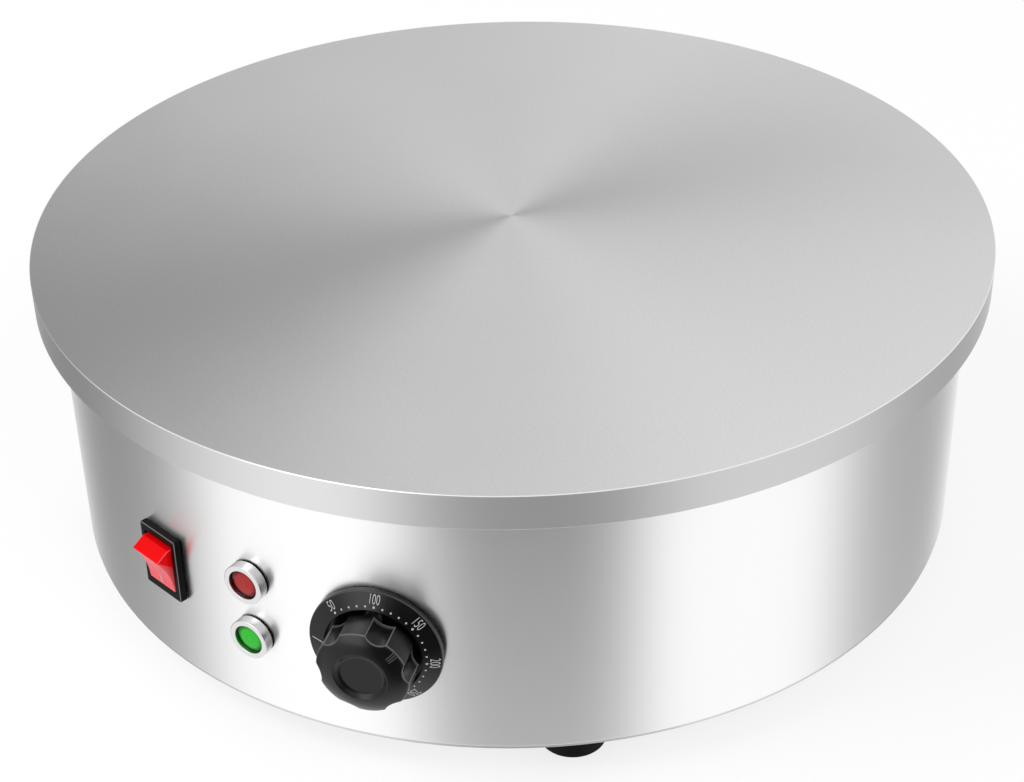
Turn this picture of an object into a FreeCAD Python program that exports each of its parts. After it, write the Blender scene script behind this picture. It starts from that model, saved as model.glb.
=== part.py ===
import FreeCAD, Part
import math
import os
import re

import Sketcher
from FreeCAD import Vector

# Electric crepe maker: a round cast griddle plate on a sheet steel drum, with a ring element under the plate
# and a rocker switch, two lamps and a thermostat dial in the drum's side.
# Millimetres. The origin is the centre of the base on the surface it stands on, +Z is up and -Y is the side
# with the lamps. Angles round the drum are in degrees from -Y towards +X.

doc = FreeCAD.newDocument("crepe_maker")
sheet = doc.addObject("Spreadsheet::Sheet", "Sizes")

SIZES = {
    # Griddle plate
    "plate_radius": 200,
    "plate_web": 9,
    "rim_height": 14.5,
    "plate_edge": 0.6,
    "plate_overhang": 9.3,
    "lip_depth": 4,
    "lip_width": 3.2,
    "lip_gap": 0.5,
    "boss_radius": 10,
    "boss_root": 3,
    "boss_gap": 0.4,
    # Drum and base pan
    "shell_sheet": 1,
    "shell_height": 109.6,
    "pan_sheet": 1.2,
    "pan_setback": 0.3,
    "pan_flange": 10,
    "pan_gap": 0.4,
    "vent_radius": 3,
    "vent_circle": 60,
    "vent_count": 12,
    # Rubber feet
    "foot_height": 15,
    "foot_radius": 13.2,
    "foot_top_radius": 15,
    "foot_edge": 0.66,
    "foot_land": 1.5,
    "foot_inset": 22.4,
    "foot_angle": 38.65,
    "foot_count": 4,
    "foot_recess_radius": 6.5,
    "foot_recess_depth": 8,
    "foot_screw_radius": 2.5,
    "foot_screw_head": 4.5,
    "foot_screw_head_height": 3,
    "foot_nut_across": 8,
    "foot_nut_height": 4,
    # Ring element
    "element_radius": 4,
    "element_inset": 40.7,
    "element_pitch": 55,
    "element_gap": 0.3,
    "element_bend": 16,
    "element_outer_end": 78,
    "element_hairpin": 120,
    "element_inner_end": 52,
    "element_leg_drop": 49,
    "element_pin_radius": 2,
    "element_pin_length": 14,
    "bushing_radius": 7,
    "bushing_length": 9,
    "bushing_drop": 3,
    # Tie rods and clamp bars
    "tie_count": 3,
    "tie_radius": 4,
    "tie_fit": 0.05,
    "tie_tail": 8.2,
    "nut_height": 6.5,
    "nut_across": 13,
    "washer_radius": 8,
    "washer_sheet": 1.2,
    "bar_width": 20,
    "bar_sheet": 3,
    "bar_overrun": 11,
    # Insulation and heat tray
    "pad_thickness": 16,
    "pad_gap": 0.5,
    "pad_clear": 1.2,
    "tray_sheet": 1,
    "tray_margin": 22,
    # Rocker switch
    "switch_angle": -13.9,
    "switch_rise": 49.9,
    "switch_width": 21.3,
    "switch_height": 29,
    "switch_frame": 3.05,
    "switch_body_width": 18.6,
    "switch_body_height": 25.4,
    "switch_body_depth": 20,
    "switch_cut_gap": 0.2,
    "rocker_width": 15.6,
    "rocker_ridge": 9.34,
    "rocker_crown": 5.8,
    "rocker_sag": 1.4,
    "rocker_end": 10.4,
    "rocker_shoulder": 0.44,
    "rocker_skirt": 3.5,
    "rocker_taper": 1.17,
    "rocker_floor": 8,
    "rocker_sink": 2,
    "rocker_gap": 0.3,
    "rocker_tilt": 20.5,
    "rocker_pin_radius": 1.5,
    "rocker_pin_length": 1,
    "pin_fit": 0.05,
    "spade_width": 6.3,
    "spade_sheet": 0.8,
    "spade_length": 9,
    "switch_spade_x": 4.5,
    "switch_spade_y": 6.5,
    # Lamps
    "lamp_angle": 0,
    "lamp_rise": 48.65,
    "lamp_spacing": 26.3,
    "lamp_radius": 8.5,
    "lamp_projection": 4.7,
    "lamp_opening": 6.25,
    "lamp_edge": 0.25,
    "lamp_barrel": 5.9,
    "lamp_depth": 20,
    "lamp_nut_across": 17,
    "lamp_nut_height": 4,
    "lamp_pin_radius": 1,
    "lamp_pin_length": 6,
    "lamp_pin_spacing": 5,
    "gasket_thickness": 0.6,
    "gasket_setback": 0.15,
    "lens_base": 1.5,
    "lens_shoulder": 2.9,
    "lens_crown": 3.9,
    "lens_top_radius": 4.3,
    "lens_dome": 30,
    # Thermostat
    "knob_angle": 15.9,
    "knob_rise": 47.9,
    "thermostat_width": 36,
    "thermostat_height": 36,
    "thermostat_depth": 24,
    "collar_radius": 5,
    "shaft_radius": 3,
    "shaft_fit": 0.05,
    "shaft_inset": 12,
    "shaft_reach": 16.5,
    "shaft_flat": 0.8,
    "dial_screw_spacing": 28,
    "dial_screw_radius": 2,
    "dial_screw_head": 3.5,
    "dial_screw_head_height": 2,
    "dial_screw_length": 12,
    "thermostat_spade_y": 10,
    # Dial plate and knob
    "dial_radius": 26,
    "dial_inner_radius": 19,
    "dial_face": 6,
    "dial_rim": 3,
    "dial_recess": 2.8,
    "dial_standoff": 0.8,
    "dial_hub": 17,
    "dial_edge": 0.7,
    "knob_base_radius": 18.2,
    "knob_rim_radius": 17.9,
    "knob_lift": 1,
    "knob_rim": 12,
    "knob_crown": 15,
    "knob_dome": 18,
    "knob_dish_radius": 10.4,
    "knob_dish_depth": 1.3,
    "knob_dish_slope": 0.6,
    "knob_hub": 8,
    "knob_hub_drop": 3,
    "knob_wall": 2.1,
    "knob_cavity": 8,
    "knob_bore_depth": 13,
    "flute_count": 6,
    "flute_radius": 5.76,
    "flute_depth": 2.3,
    "flute_start": 20,
    "knob_pointer": 49.5,
    "pointer_pitch": 3.4,
    "pointer_width": 0.45,
    "pointer_length": 4.2,
    "pointer_depth": 0.5,
    # Thermostat bulb and capillary
    "bulb_radius": 3,
    "bulb_length": 90,
    "bulb_back": -20,
    "capillary_radius": 1,
    "capillary_hole": 3,
    "capillary_run": 12,
    "capillary_drop": 12,
    "capillary_approach": 40,
    "capillary_right": 9,
    "capillary_up": 14,
    "clip_width": 12,
    "clip_sheet": 1.2,
    "clip_span": 24,
    "clip_screw_radius": 1.5,
    "clip_screw_head": 3,
    "clip_screw_head_height": 2,
    "clip_boss_radius": 4,
    # Cable gland
    "gland_rise": 25,
    "gland_thread": 10,
    "gland_bore": 7.7,
    "gland_flange_across": 24,
    "gland_flange": 5,
    "gland_neck": 9.2,
    "gland_neck_length": 7,
    "gland_inside": 12,
    "gland_reach": 17.8,
    "gland_nose": 4.2,
    "gland_mouth": 5,
    "gland_seal_bore": 4.5,
    "gland_seal_length": 15.5,
    "locknut_across": 26,
    "locknut_height": 4,
    # Terminal block and earth stud
    "block_x": -50,
    "block_y": 125,
    "block_length": 42,
    "block_width": 22,
    "block_height": 18,
    "block_way_radius": 2.2,
    "block_pitch": 13,
    "block_screw_radius": 1.7,
    "block_screw_head": 3.2,
    "block_screw_head_height": 1.7,
    "earth_x": 45,
    "earth_y": 140,
    "earth_radius": 2,
    "earth_head": 4,
    "earth_head_height": 2,
    "earth_length": 14,
    "earth_nut_across": 7,
    "earth_nut_height": 3.2,
    # Wires and general clearances
    "wire_radius": 1.5,
    "wire_level": 12,
    "wire_insert": 5.5,
    "wire_approach": 22,
    "block_approach": 45,
    "earth_rise": 14,
    "earth_approach": 29,
    "lead_radius": 0.9,
    "lead_level": 4,
    "lead_rise": 15,
    "lead_drop": 7,
    "lead_stagger": 4.5,
    "lead_pitch": 3,
    "lead_climb_start": 59,
    "lead_climb_end": 33,
    "seat_gap": 0.05,
    "hole_gap": 0.3,
    "chord_gap": 0.08,
    "cutter_length": 6,
}

for row, (alias, number) in enumerate(SIZES.items(), start=1):
    sheet.set(f"A{row}", alias)
    sheet.set(f"B{row}", str(number))
    sheet.setAlias(f"B{row}", alias)
doc.recompute()


# Sizes that follow from the driving ones

DRUM = "(plate_radius - plate_overhang)"
DRUM_INSIDE = f"({DRUM} - shell_sheet)"
SHELL_BOTTOM = "(foot_height + pan_sheet)"
SHELL_TOP = f"({SHELL_BOTTOM} + shell_height)"
PLATE_TOP = f"({SHELL_TOP} + rim_height)"
WEB_BELOW = f"({PLATE_TOP} - plate_web)"
LIP_OUTSIDE = f"({DRUM_INSIDE} - lip_gap)"
LIP_INSIDE = f"({LIP_OUTSIDE} - lip_width)"
ELEMENT_LEVEL = f"({WEB_BELOW} - element_gap - element_radius)"
ELEMENT_OUTER = f"({DRUM} - element_inset)"
ELEMENT_INNER = f"({ELEMENT_OUTER} - element_pitch)"
TIE_CIRCLE = f"(({ELEMENT_OUTER} + {ELEMENT_INNER}) / 2)"
BAR_TOP = f"({ELEMENT_LEVEL} - element_radius - element_gap)"
CLAMP_NUT_BOTTOM = f"({BAR_TOP} - bar_sheet - nut_height)"
PAD_TOP = f"({CLAMP_NUT_BOTTOM} - pad_clear)"
TRAY_FLOOR = f"({PAD_TOP} - pad_thickness)"
TRAY_BELOW = f"({TRAY_FLOOR} - tray_sheet)"
TRAY_RADIUS = f"({ELEMENT_OUTER} + tray_margin)"
FOOT_CIRCLE = f"({DRUM} - foot_inset)"
ROCKER_PIVOT = "(seat_gap + switch_frame - rocker_sink)"
DIAL_FLOOR = "(dial_face - dial_recess)"
KNOB_BASE = "(dial_face + knob_lift)"
KNOB_TOP = "(dial_face + knob_crown)"
BULB_LEVEL = f"({WEB_BELOW} - element_gap - bulb_radius)"
CLIP_TOP = f"({BULB_LEVEL} - bulb_radius - element_gap)"
CLIP_DROP = f"({WEB_BELOW} - {CLIP_TOP})"
CAPILLARY_DROP_X = "(bulb_length / 2 + capillary_run)"
LAMP_HEIGHTS = {
    "red": "(foot_height + lamp_rise + lamp_spacing / 2)",
    "green": "(foot_height + lamp_rise - lamp_spacing / 2)",
}
SWITCH_HEIGHT = "(foot_height + switch_rise)"
KNOB_HEIGHT = "(foot_height + knob_rise)"
GLAND_HEIGHT = "(foot_height + gland_rise)"
GLAND_ANGLE = "180"

# Points that the wires pass between their ends: x, y and the height above the wiring level

SUPPLY_LIVE_POINTS = ((-66, 0, -2), (-62, -90, 0), (-48, -125, 17))
SUPPLY_NEUTRAL_POINTS = ((-54, 0, -2), (-54, -80, 6), (-47, -112, 32))
ELEMENT_LIVE_POINTS = ((52, -95, 5), (62, -20, 0), (58, 60, 0), (40, 118, 3))
ELEMENT_NEUTRAL_POINTS = ((47, 55, 1), (48, -20, 0), (46, -90, 6), (26, -128, 18), (-8, -141, 26))
EARTH_POINTS = ((34, 160, 8), (16, 165, -4), (-20, 165, -4))
LEAD_TURN_X, LEAD_TURN_Y = -77, -128
LEAD_ENDS_X = (-58.5, -55.5, -45, -42)


def bound(expression):
    """The expression with each size named through the sheet."""
    def through_sheet(name):
        return f"Sizes.{name[0]}" if name[0] in SIZES else name[0]

    return re.sub(r"[a-z_][a-z0-9_]*", through_sheet, expression)


def size(expression):
    """The number that an expression of sizes comes to."""
    return float(sheet.evalExpression(bound(str(expression))))


def bind(thing, **sizes):
    """Binds properties of an object to expressions of sizes."""
    for name, expression in sizes.items():
        thing.setExpression(name, bound(str(expression)))
    return thing


def place(thing, x="0", y="0", z="0", yaw="0", pitch="0", roll="0"):
    """Puts an object at a point, rolled about X, then pitched about Y and turned about Z."""
    heading = f"mod({yaw} + 180; 360) - 180"
    for axis, distance in (("x", x), ("y", y), ("z", z)):
        thing.setExpression(f"Placement.Base.{axis}", bound(distance))
    for turn, angle in (("Yaw", heading), ("Pitch", pitch), ("Roll", roll)):
        thing.setExpression(f"Placement.Rotation.{turn}", bound(angle))
    return thing


def on_drum(thing, angle, height, out="0", right="0", up="0", tilt="0"):
    """Puts an object on the drum's outer face: its X to the right, its Y up and its Z straight out."""
    radius = f"({DRUM} + {out})"
    x = f"{radius} * sin({angle}) + ({right}) * cos({angle})"
    y = f"({right}) * sin({angle}) - {radius} * cos({angle})"
    return place(thing, x, y, f"({height}) + ({up})", yaw=angle, roll=f"90 + ({tilt})")


def drum_point(angle, height, out=0.0, right=0.0, up=0.0):
    """The point that on_drum would put an object at, as a vector."""
    turn = math.radians(size(angle))
    radius = size(DRUM) + out
    x = radius * math.sin(turn) + right * math.cos(turn)
    y = right * math.sin(turn) - radius * math.cos(turn)
    return Vector(x, y, size(height) + up)


# Sketches and features

def origin_part(body, role):
    """One of a body's own origin planes or axes."""
    return next(item for item in body.Origin.OriginFeatures if item.Role == role)


def new_body(label):
    body = doc.addObject("PartDesign::Body", label)
    body.Label = label
    return body


def new_sketch(body, plane, lift="0"):
    sketch = body.newObject("Sketcher::SketchObject", f"{body.Name}_outline")
    sketch.AttachmentSupport = [(origin_part(body, plane), "")]
    sketch.MapMode = "FlatFace"
    sketch.setExpression("AttachmentOffset.Base.z", bound(lift))
    return sketch


def pin_point(sketch, geometry, end, x, y):
    """Dimensions one point of a sketch from its origin."""
    for kind, axis, expression in (("DistanceX", -2, x), ("DistanceY", -1, y)):
        if expression == "0":
            sketch.addConstraint(Sketcher.Constraint("PointOnObject", geometry, end, axis))
            continue
        index = sketch.addConstraint(Sketcher.Constraint(kind, -1, 1, geometry, end, size(expression)))
        sketch.setExpression(f"Constraints[{index}]", bound(expression))


def arc_through(start, finish, radius):
    """An arc between two points that bulges to the left of the way there, or to the right if negative."""
    chord = finish - start
    across = Vector(-chord.y, chord.x, 0).normalize()
    rise = abs(radius) - math.sqrt(radius**2 - (chord.Length / 2) ** 2)
    middle = (start + finish) * 0.5 + across * math.copysign(rise, radius)
    return Part.Arc(start, middle, finish)


def draw_outline(sketch, corners):
    """A closed outline through corners (x, y), or (x, y, radius) where an arc runs on to the next corner."""
    points = [Vector(size(corner[0]), size(corner[1]), 0) for corner in corners]
    edges = []
    for index, corner in enumerate(corners):
        start, finish = points[index], points[(index + 1) % len(points)]
        if len(corner) == 2:
            edges.append((sketch.addGeometry(Part.LineSegment(start, finish), False), 1, 2))
            continue
        arc = sketch.addGeometry(arc_through(start, finish, size(corner[2])), False)
        to_start = [sketch.getPoint(arc, end).distanceToPoint(start) for end in (1, 2)]
        edges.append((arc, 1, 2) if to_start[0] < to_start[1] else (arc, 2, 1))
    for index, (edge, first, last) in enumerate(edges):
        following, beginning, _ = edges[(index + 1) % len(edges)]
        sketch.addConstraint(Sketcher.Constraint("Coincident", edge, last, following, beginning))
        pin_point(sketch, edge, first, corners[index][0], corners[index][1])
        if len(corners[index]) == 3:
            bend = sketch.addConstraint(Sketcher.Constraint("Radius", edge, abs(size(corners[index][2]))))
            sketch.setExpression(f"Constraints[{bend}]", bound(f"abs({corners[index][2]})"))


def turned(label, corners):
    """A body turned about its Z axis from an outline of (radius, height) corners."""
    body = new_body(label)
    sketch = new_sketch(body, "XZ_Plane")
    draw_outline(sketch, corners)
    turn = body.newObject("PartDesign::Revolution", f"{label}_turn")
    turn.Profile = sketch
    turn.ReferenceAxis = (sketch, ["V_Axis"])
    turn.Angle = 360
    return body


def padded(label, plane, corners, length, lift="0", symmetric=False):
    """A body made by padding an outline on one of its own planes."""
    body = new_body(label)
    sketch = new_sketch(body, plane, lift)
    draw_outline(sketch, corners)
    pad = body.newObject("PartDesign::Pad", f"{label}_pad")
    pad.Profile = sketch
    bind(pad, Length=length)
    if symmetric:
        pad.SideType = "Symmetric"
    return body


def slab(label, width, depth, height, lift="0"):
    """A body with a rectangular plan about its Z axis, from lift up."""
    half_x, half_y = f"(({width}) / 2)", f"(({depth}) / 2)"
    corners = [(f"-{half_x}", f"-{half_y}"), (half_x, f"-{half_y}"), (half_x, half_y), (f"-{half_x}", half_y)]
    return padded(label, "XY_Plane", corners, height, lift)


def through_hole(body, radius, x, y):
    """A round hole through the whole of a body along its Z."""
    sketch = new_sketch(body, "XY_Plane")
    centre = Vector(size(x), size(y), 0)
    circle = sketch.addGeometry(Part.Circle(centre, Vector(0, 0, 1), size(radius)), False)
    pin_point(sketch, circle, 3, x, y)
    index = sketch.addConstraint(Sketcher.Constraint("Radius", circle, size(radius)))
    sketch.setExpression(f"Constraints[{index}]", bound(radius))
    pocket = body.newObject("PartDesign::Pocket", f"{body.Name}_hole")
    pocket.Profile = sketch
    pocket.Type = "ThroughAll"
    pocket.SideType = "Symmetric"
    return pocket


def repeat_round(body, feature, count):
    """Repeats a feature of a body evenly round its Z axis."""
    pattern = body.newObject("PartDesign::PolarPattern", f"{feature.Name}_round")
    pattern.Originals = [feature]
    pattern.Axis = (origin_part(body, "Z_Axis"), [""])
    pattern.Angle = 360
    bind(pattern, Occurrences=count)
    body.Tip = pattern
    return pattern


# Primitives and booleans

def cylinder(label, radius, length):
    return bind(doc.addObject("Part::Cylinder", label), Radius=radius, Height=length)


def box(label, width, depth, height):
    return bind(doc.addObject("Part::Box", label), Length=width, Width=depth, Height=height)


def hexagon(label, across, length):
    """A hexagonal bar along Z, sized across its flats."""
    return bind(doc.addObject("Part::Prism", label), Circumradius=f"({across}) / sqrt(3)", Height=length)


def cut(label, base, *tools):
    result = doc.addObject("Part::Cut", label)
    result.Base = base
    result.Tool = tools[0] if len(tools) == 1 else group(f"{label}_tools", tools)
    return result


def join(label, *parts):
    result = doc.addObject("Part::MultiFuse", label)
    result.Shapes = list(parts)
    return result


def group(label, parts):
    """Separate solids of one kind, kept together as one object."""
    result = doc.addObject("Part::Compound", label)
    result.Links = list(parts)
    return result


def nut(label, across, bore, height):
    hole = cylinder(f"{label}_hole", f"{bore} + tie_fit", height)
    return cut(label, hexagon(f"{label}_hexagon", across, height), hole)


def washer(label, radius, bore, height):
    hole = cylinder(f"{label}_hole", f"{bore} + hole_gap", height)
    return cut(label, cylinder(f"{label}_disc", radius, height), hole)


def around(count, start="0"):
    """The angles of copies spaced evenly round the drum."""
    total = round(size(count))
    return [f"({start} + {index} * 360 / {count})" for index in range(total)]


def lie_along_x(thing, length, z, y="0"):
    """Lays a bar of that length along X, centred on the Z axis."""
    return place(thing, f"-({length}) / 2", y, z, pitch="90")


def polar(thing, radius, angle, z, yaw="0"):
    """Puts an object at a radius and an angle round the drum."""
    return place(thing, f"{radius} * sin({angle})", f"-{radius} * cos({angle})", z, yaw)


# Tubes along a path of straight runs joined by tangent arcs

def rounded_path(points, ratio=0.45, largest=40.0):
    """Edges through points, each corner rounded by an arc as large as its two runs allow."""
    edges = []
    radii = []
    start = points[0]
    for before, corner, after in zip(points, points[1:], points[2:]):
        come = (corner - before).normalize()
        leave = (after - corner).normalize()
        turn = come.getAngle(leave)
        run = min((corner - before).Length, (after - corner).Length)
        radius = min(ratio * run / math.tan(turn / 2), largest)
        reach = radius * math.tan(turn / 2)
        first = corner - come * reach
        last = corner + leave * reach
        inward = (leave - come).normalize()
        centre = corner + inward * (radius / math.cos(turn / 2))
        middle = centre - inward * radius
        edges.append(Part.LineSegment(start, first).toShape())
        edges.append(Part.Arc(first, middle, last).toShape())
        radii.append(radius)
        start = last
    edges.append(Part.LineSegment(start, points[-1]).toShape())
    return edges, radii


def swept(label, edges, radius):
    """A round bar swept along edges, its volume compared with its section times its length."""
    path = Part.Wire(edges)
    start = edges[0].valueAt(edges[0].FirstParameter)
    heading = edges[0].tangentAt(edges[0].FirstParameter)
    section = Part.Wire(Part.Circle(start, heading, radius).toShape())
    solid = path.makePipeShell([section], True, False)
    expected = math.pi * radius**2 * path.Length
    if abs(solid.Volume - expected) > 0.01 * expected:
        raise ValueError(f"{label}: volume {solid.Volume:.0f} against {expected:.0f}")
    return solid


def feature(label, shape):
    """A sub-part whose shape is worked out here from the sheet's sizes."""
    result = doc.addObject("Part::Feature", label)
    result.Shape = shape
    return result


def wires(label, routes, radius):
    """Insulated wires, one solid for each route."""
    solids = []
    for route in routes:
        edges, radii = rounded_path(route)
        print(label, "bend radii", [round(value, 1) for value in radii])
        solids.append(swept(label, edges, size(radius)))
    return feature(label, solids[0] if len(solids) == 1 else Part.Compound(solids))


def spade(label, angle, height, out, right, up):
    """A flat terminal that stands back from a control into the drum."""
    blade = box(label, "spade_width", "spade_sheet", "spade_length")
    back = f"({out}) - spade_length"
    return on_drum(blade, angle, height, back, f"({right}) - spade_width / 2", f"({up}) - spade_sheet / 2")


# Where the rods and the feet sit round the drum, and how far in a flat piece seats

TIE_ANGLES = around("tie_count")
FOOT_ANGLES = around("foot_count", "foot_angle")


def drum_chord(half_width):
    """How far inside the drum's outer face a flat piece of that half width seats on the inner face."""
    seat = f"sqrt({DRUM_INSIDE} * {DRUM_INSIDE} - ({half_width}) * ({half_width}))"
    return f"({seat} - {DRUM} - chord_gap)"


# Griddle plate: web, deep rim, locating lip, bosses for the rods and for the bulb clip

def make_griddle_plate():
    plain = turned("griddle_disc", [
        ("0", WEB_BELOW),
        (LIP_INSIDE, WEB_BELOW),
        (LIP_INSIDE, f"{SHELL_TOP} - lip_depth"),
        (LIP_OUTSIDE, f"{SHELL_TOP} - lip_depth"),
        (LIP_OUTSIDE, SHELL_TOP),
        ("plate_radius - plate_edge", SHELL_TOP),
        ("plate_radius", f"{SHELL_TOP} + plate_edge"),
        ("plate_radius", f"{PLATE_TOP} - plate_edge"),
        ("plate_radius - plate_edge", PLATE_TOP),
        ("0", PLATE_TOP),
    ])
    rod_boss = f"({WEB_BELOW} - {BAR_TOP} - boss_gap)"
    bosses, holes = [], []
    for angle in TIE_ANGLES:
        boss = cylinder("rod_boss", "boss_radius", f"{rod_boss} + boss_root")
        bosses.append(polar(boss, TIE_CIRCLE, angle, f"{BAR_TOP} + boss_gap"))
        hole = cylinder("rod_hole", "tie_radius + tie_fit", f"{rod_boss} + boss_root")
        holes.append(polar(hole, TIE_CIRCLE, angle, BAR_TOP))
    for x, y in clip_screw_places():
        boss = cylinder("clip_boss", "clip_boss_radius", f"{CLIP_DROP} + boss_root")
        bosses.append(place(boss, x, y, CLIP_TOP))
        holes.append(place(cylinder("clip_hole", "clip_screw_radius + tie_fit", CLIP_DROP), x, y, CLIP_TOP))
    return cut("griddle_plate", join("griddle_with_bosses", plain, *bosses), *holes)


# Bulb clip: a strap across the thermostat's bulb, screwed to two bosses under the plate

def clip_screw_places():
    return [("0", "bulb_back - clip_span / 2"), ("0", "bulb_back + clip_span / 2")]


def make_bulb_clip():
    length = "(clip_span + 2 * clip_boss_radius)"
    strap = slab("clip_strap", "clip_width", length, "clip_sheet")
    place(strap, "0", "bulb_back", f"{CLIP_TOP} - seat_gap - clip_sheet")
    holes, screws = [], []
    for x, y in clip_screw_places():
        hole = cylinder("clip_strap_hole", "clip_screw_radius + tie_fit", "clip_sheet * 2")
        holes.append(place(hole, x, y, f"{CLIP_TOP} - clip_sheet * 2"))
        head_z = f"{CLIP_TOP} - clip_sheet - 2 * seat_gap - clip_screw_head_height"
        head = place(cylinder("clip_screw_head", "clip_screw_head", "clip_screw_head_height"), x, y, head_z)
        shank_length = f"clip_screw_head_height + clip_sheet + {CLIP_DROP} - seat_gap"
        shank = place(cylinder("clip_screw_shank", "clip_screw_radius", shank_length), x, y, head_z)
        screws.append(join("clip_screw", head, shank))
    cut("bulb_clip", strap, *holes)
    group("bulb_clip_screws", screws)


# Drum shell: a rolled stainless tube with its cut-outs

def make_drum_shell():
    outside = cylinder("drum_outside", DRUM, "shell_height")
    inside = cylinder("drum_inside", DRUM_INSIDE, "shell_height")
    tube = cut("drum_tube", place(outside, z=SHELL_BOTTOM), place(inside, z=SHELL_BOTTOM))
    start = "-cutter_length / 2"
    width = "(switch_body_width + 2 * switch_cut_gap)"
    height = "(switch_body_height + 2 * switch_cut_gap)"
    window = box("switch_window", width, height, "cutter_length")
    tools = [on_drum(window, "switch_angle", SWITCH_HEIGHT, start, f"-{width} / 2", f"-{height} / 2")]

    def round_hole(radius, angle, level, up="0"):
        tools.append(on_drum(cylinder("drum_hole", radius, "cutter_length"), angle, level, start, "0", up))

    for height in LAMP_HEIGHTS.values():
        round_hole("lamp_barrel + hole_gap", "lamp_angle", height)
    round_hole("collar_radius + hole_gap", "knob_angle", KNOB_HEIGHT)
    round_hole("dial_screw_radius + hole_gap", "knob_angle", KNOB_HEIGHT, "dial_screw_spacing / 2")
    round_hole("dial_screw_radius + hole_gap", "knob_angle", KNOB_HEIGHT, "-dial_screw_spacing / 2")
    round_hole("gland_thread + hole_gap", GLAND_ANGLE, GLAND_HEIGHT)
    cut("drum_shell", tube, *tools)


# Base pan: a shallow pressed dish under the drum, with vents and holes for feet, rods and earth stud

def make_base_pan():
    inner = f"{DRUM_INSIDE} - pan_gap"
    edge = f"{DRUM} - pan_setback"
    pan = turned("base_dish", [
        ("0", "foot_height"),
        (edge, "foot_height"),
        (edge, SHELL_BOTTOM),
        (inner, SHELL_BOTTOM),
        (inner, f"{SHELL_BOTTOM} + pan_flange"),
        (f"{inner} - pan_sheet", f"{SHELL_BOTTOM} + pan_flange"),
        (f"{inner} - pan_sheet", SHELL_BOTTOM),
        ("0", SHELL_BOTTOM),
    ])
    repeat_round(pan, through_hole(pan, "vent_radius", "vent_circle", "0"), "vent_count")
    below = "foot_height - cutter_length / 2"
    tools = []

    def drill(radius):
        return cylinder("pan_hole", f"{radius} + hole_gap", "cutter_length")

    for angle in TIE_ANGLES:
        tools.append(polar(drill("tie_radius"), TIE_CIRCLE, angle, below))
    for angle in FOOT_ANGLES:
        tools.append(polar(drill("foot_screw_radius"), FOOT_CIRCLE, angle, below))
    for x, y in block_screw_places():
        tools.append(place(drill("block_screw_radius"), x, y, below))
    tools.append(place(drill("earth_radius"), "earth_x", "earth_y", below))
    cut("base_pan", pan, *tools)


# Rubber feet, each with a screw up through the pan, a washer in its recess and a nut on top

def make_feet():
    screws, washers, nuts = [], [], []
    for index, angle in enumerate(FOOT_ANGLES, start=1):
        foot = turned(f"rubber_foot_{index}", [
            ("foot_recess_radius", "0"),
            ("foot_radius - foot_edge", "0"),
            ("foot_radius", "foot_edge"),
            ("foot_top_radius", "foot_height - foot_land"),
            ("foot_top_radius", "foot_height - seat_gap"),
            ("foot_screw_radius + hole_gap", "foot_height - seat_gap"),
            ("foot_screw_radius + hole_gap", "foot_recess_depth"),
            ("foot_recess_radius", "foot_recess_depth"),
        ])
        polar(foot, FOOT_CIRCLE, angle, "0", angle)
        seat = "foot_recess_depth - seat_gap - washer_sheet"
        disc = washer("foot_washer", "foot_recess_radius - hole_gap", "foot_screw_radius", "washer_sheet")
        washers.append(polar(disc, FOOT_CIRCLE, angle, seat))
        head_z = f"{seat} - seat_gap - foot_screw_head_height"
        head = cylinder("foot_screw_head", "foot_screw_head", "foot_screw_head_height")
        polar(head, FOOT_CIRCLE, angle, head_z)
        reach = f"{SHELL_BOTTOM} + nut_height + seat_gap - ({head_z})"
        shank = polar(cylinder("foot_screw_shank", "foot_screw_radius", reach), FOOT_CIRCLE, angle, head_z)
        screws.append(join("foot_screw", head, shank))
        top = nut("foot_nut", "foot_nut_across", "foot_screw_radius", "foot_nut_height")
        nuts.append(polar(top, FOOT_CIRCLE, angle, f"{SHELL_BOTTOM} + seat_gap"))
    group("foot_screws", screws)
    group("foot_washers", washers)
    group("foot_nuts", nuts)


# Ring element: two rings joined by a hairpin, its two cold legs turned down through the tray

def ring_point(radius, degrees, level):
    turn = math.radians(degrees)
    return Vector(radius * math.cos(turn), radius * math.sin(turn), level)


def ring_arc(radius, start, finish, level):
    middle = ring_point(radius, (start + finish) / 2, level)
    return Part.Arc(ring_point(radius, start, level), middle, ring_point(radius, finish, level)).toShape()


def element_leg(radius, degrees):
    """A cold leg's foot and top, the middle of its quarter bend, and the ring's end, in that order."""
    level, bend = size(ELEMENT_LEVEL), size("element_bend")
    turn = math.radians(degrees)
    along = Vector(-math.sin(turn), math.cos(turn), 0)
    end = ring_point(radius, degrees, level)
    top = end + (along - Vector(0, 0, 1)) * bend
    middle = end - Vector(0, 0, bend) + (along + Vector(0, 0, 1)) * (bend * math.sqrt(0.5))
    foot = top - Vector(0, 0, size("element_leg_drop") - bend)
    return foot, top, middle, end


def element_legs():
    """The two cold legs, the outer ring's first."""
    outer = element_leg(size(ELEMENT_OUTER), size("element_outer_end"))
    inner = element_leg(size(ELEMENT_INNER), size("element_inner_end"))
    return outer, inner


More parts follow.
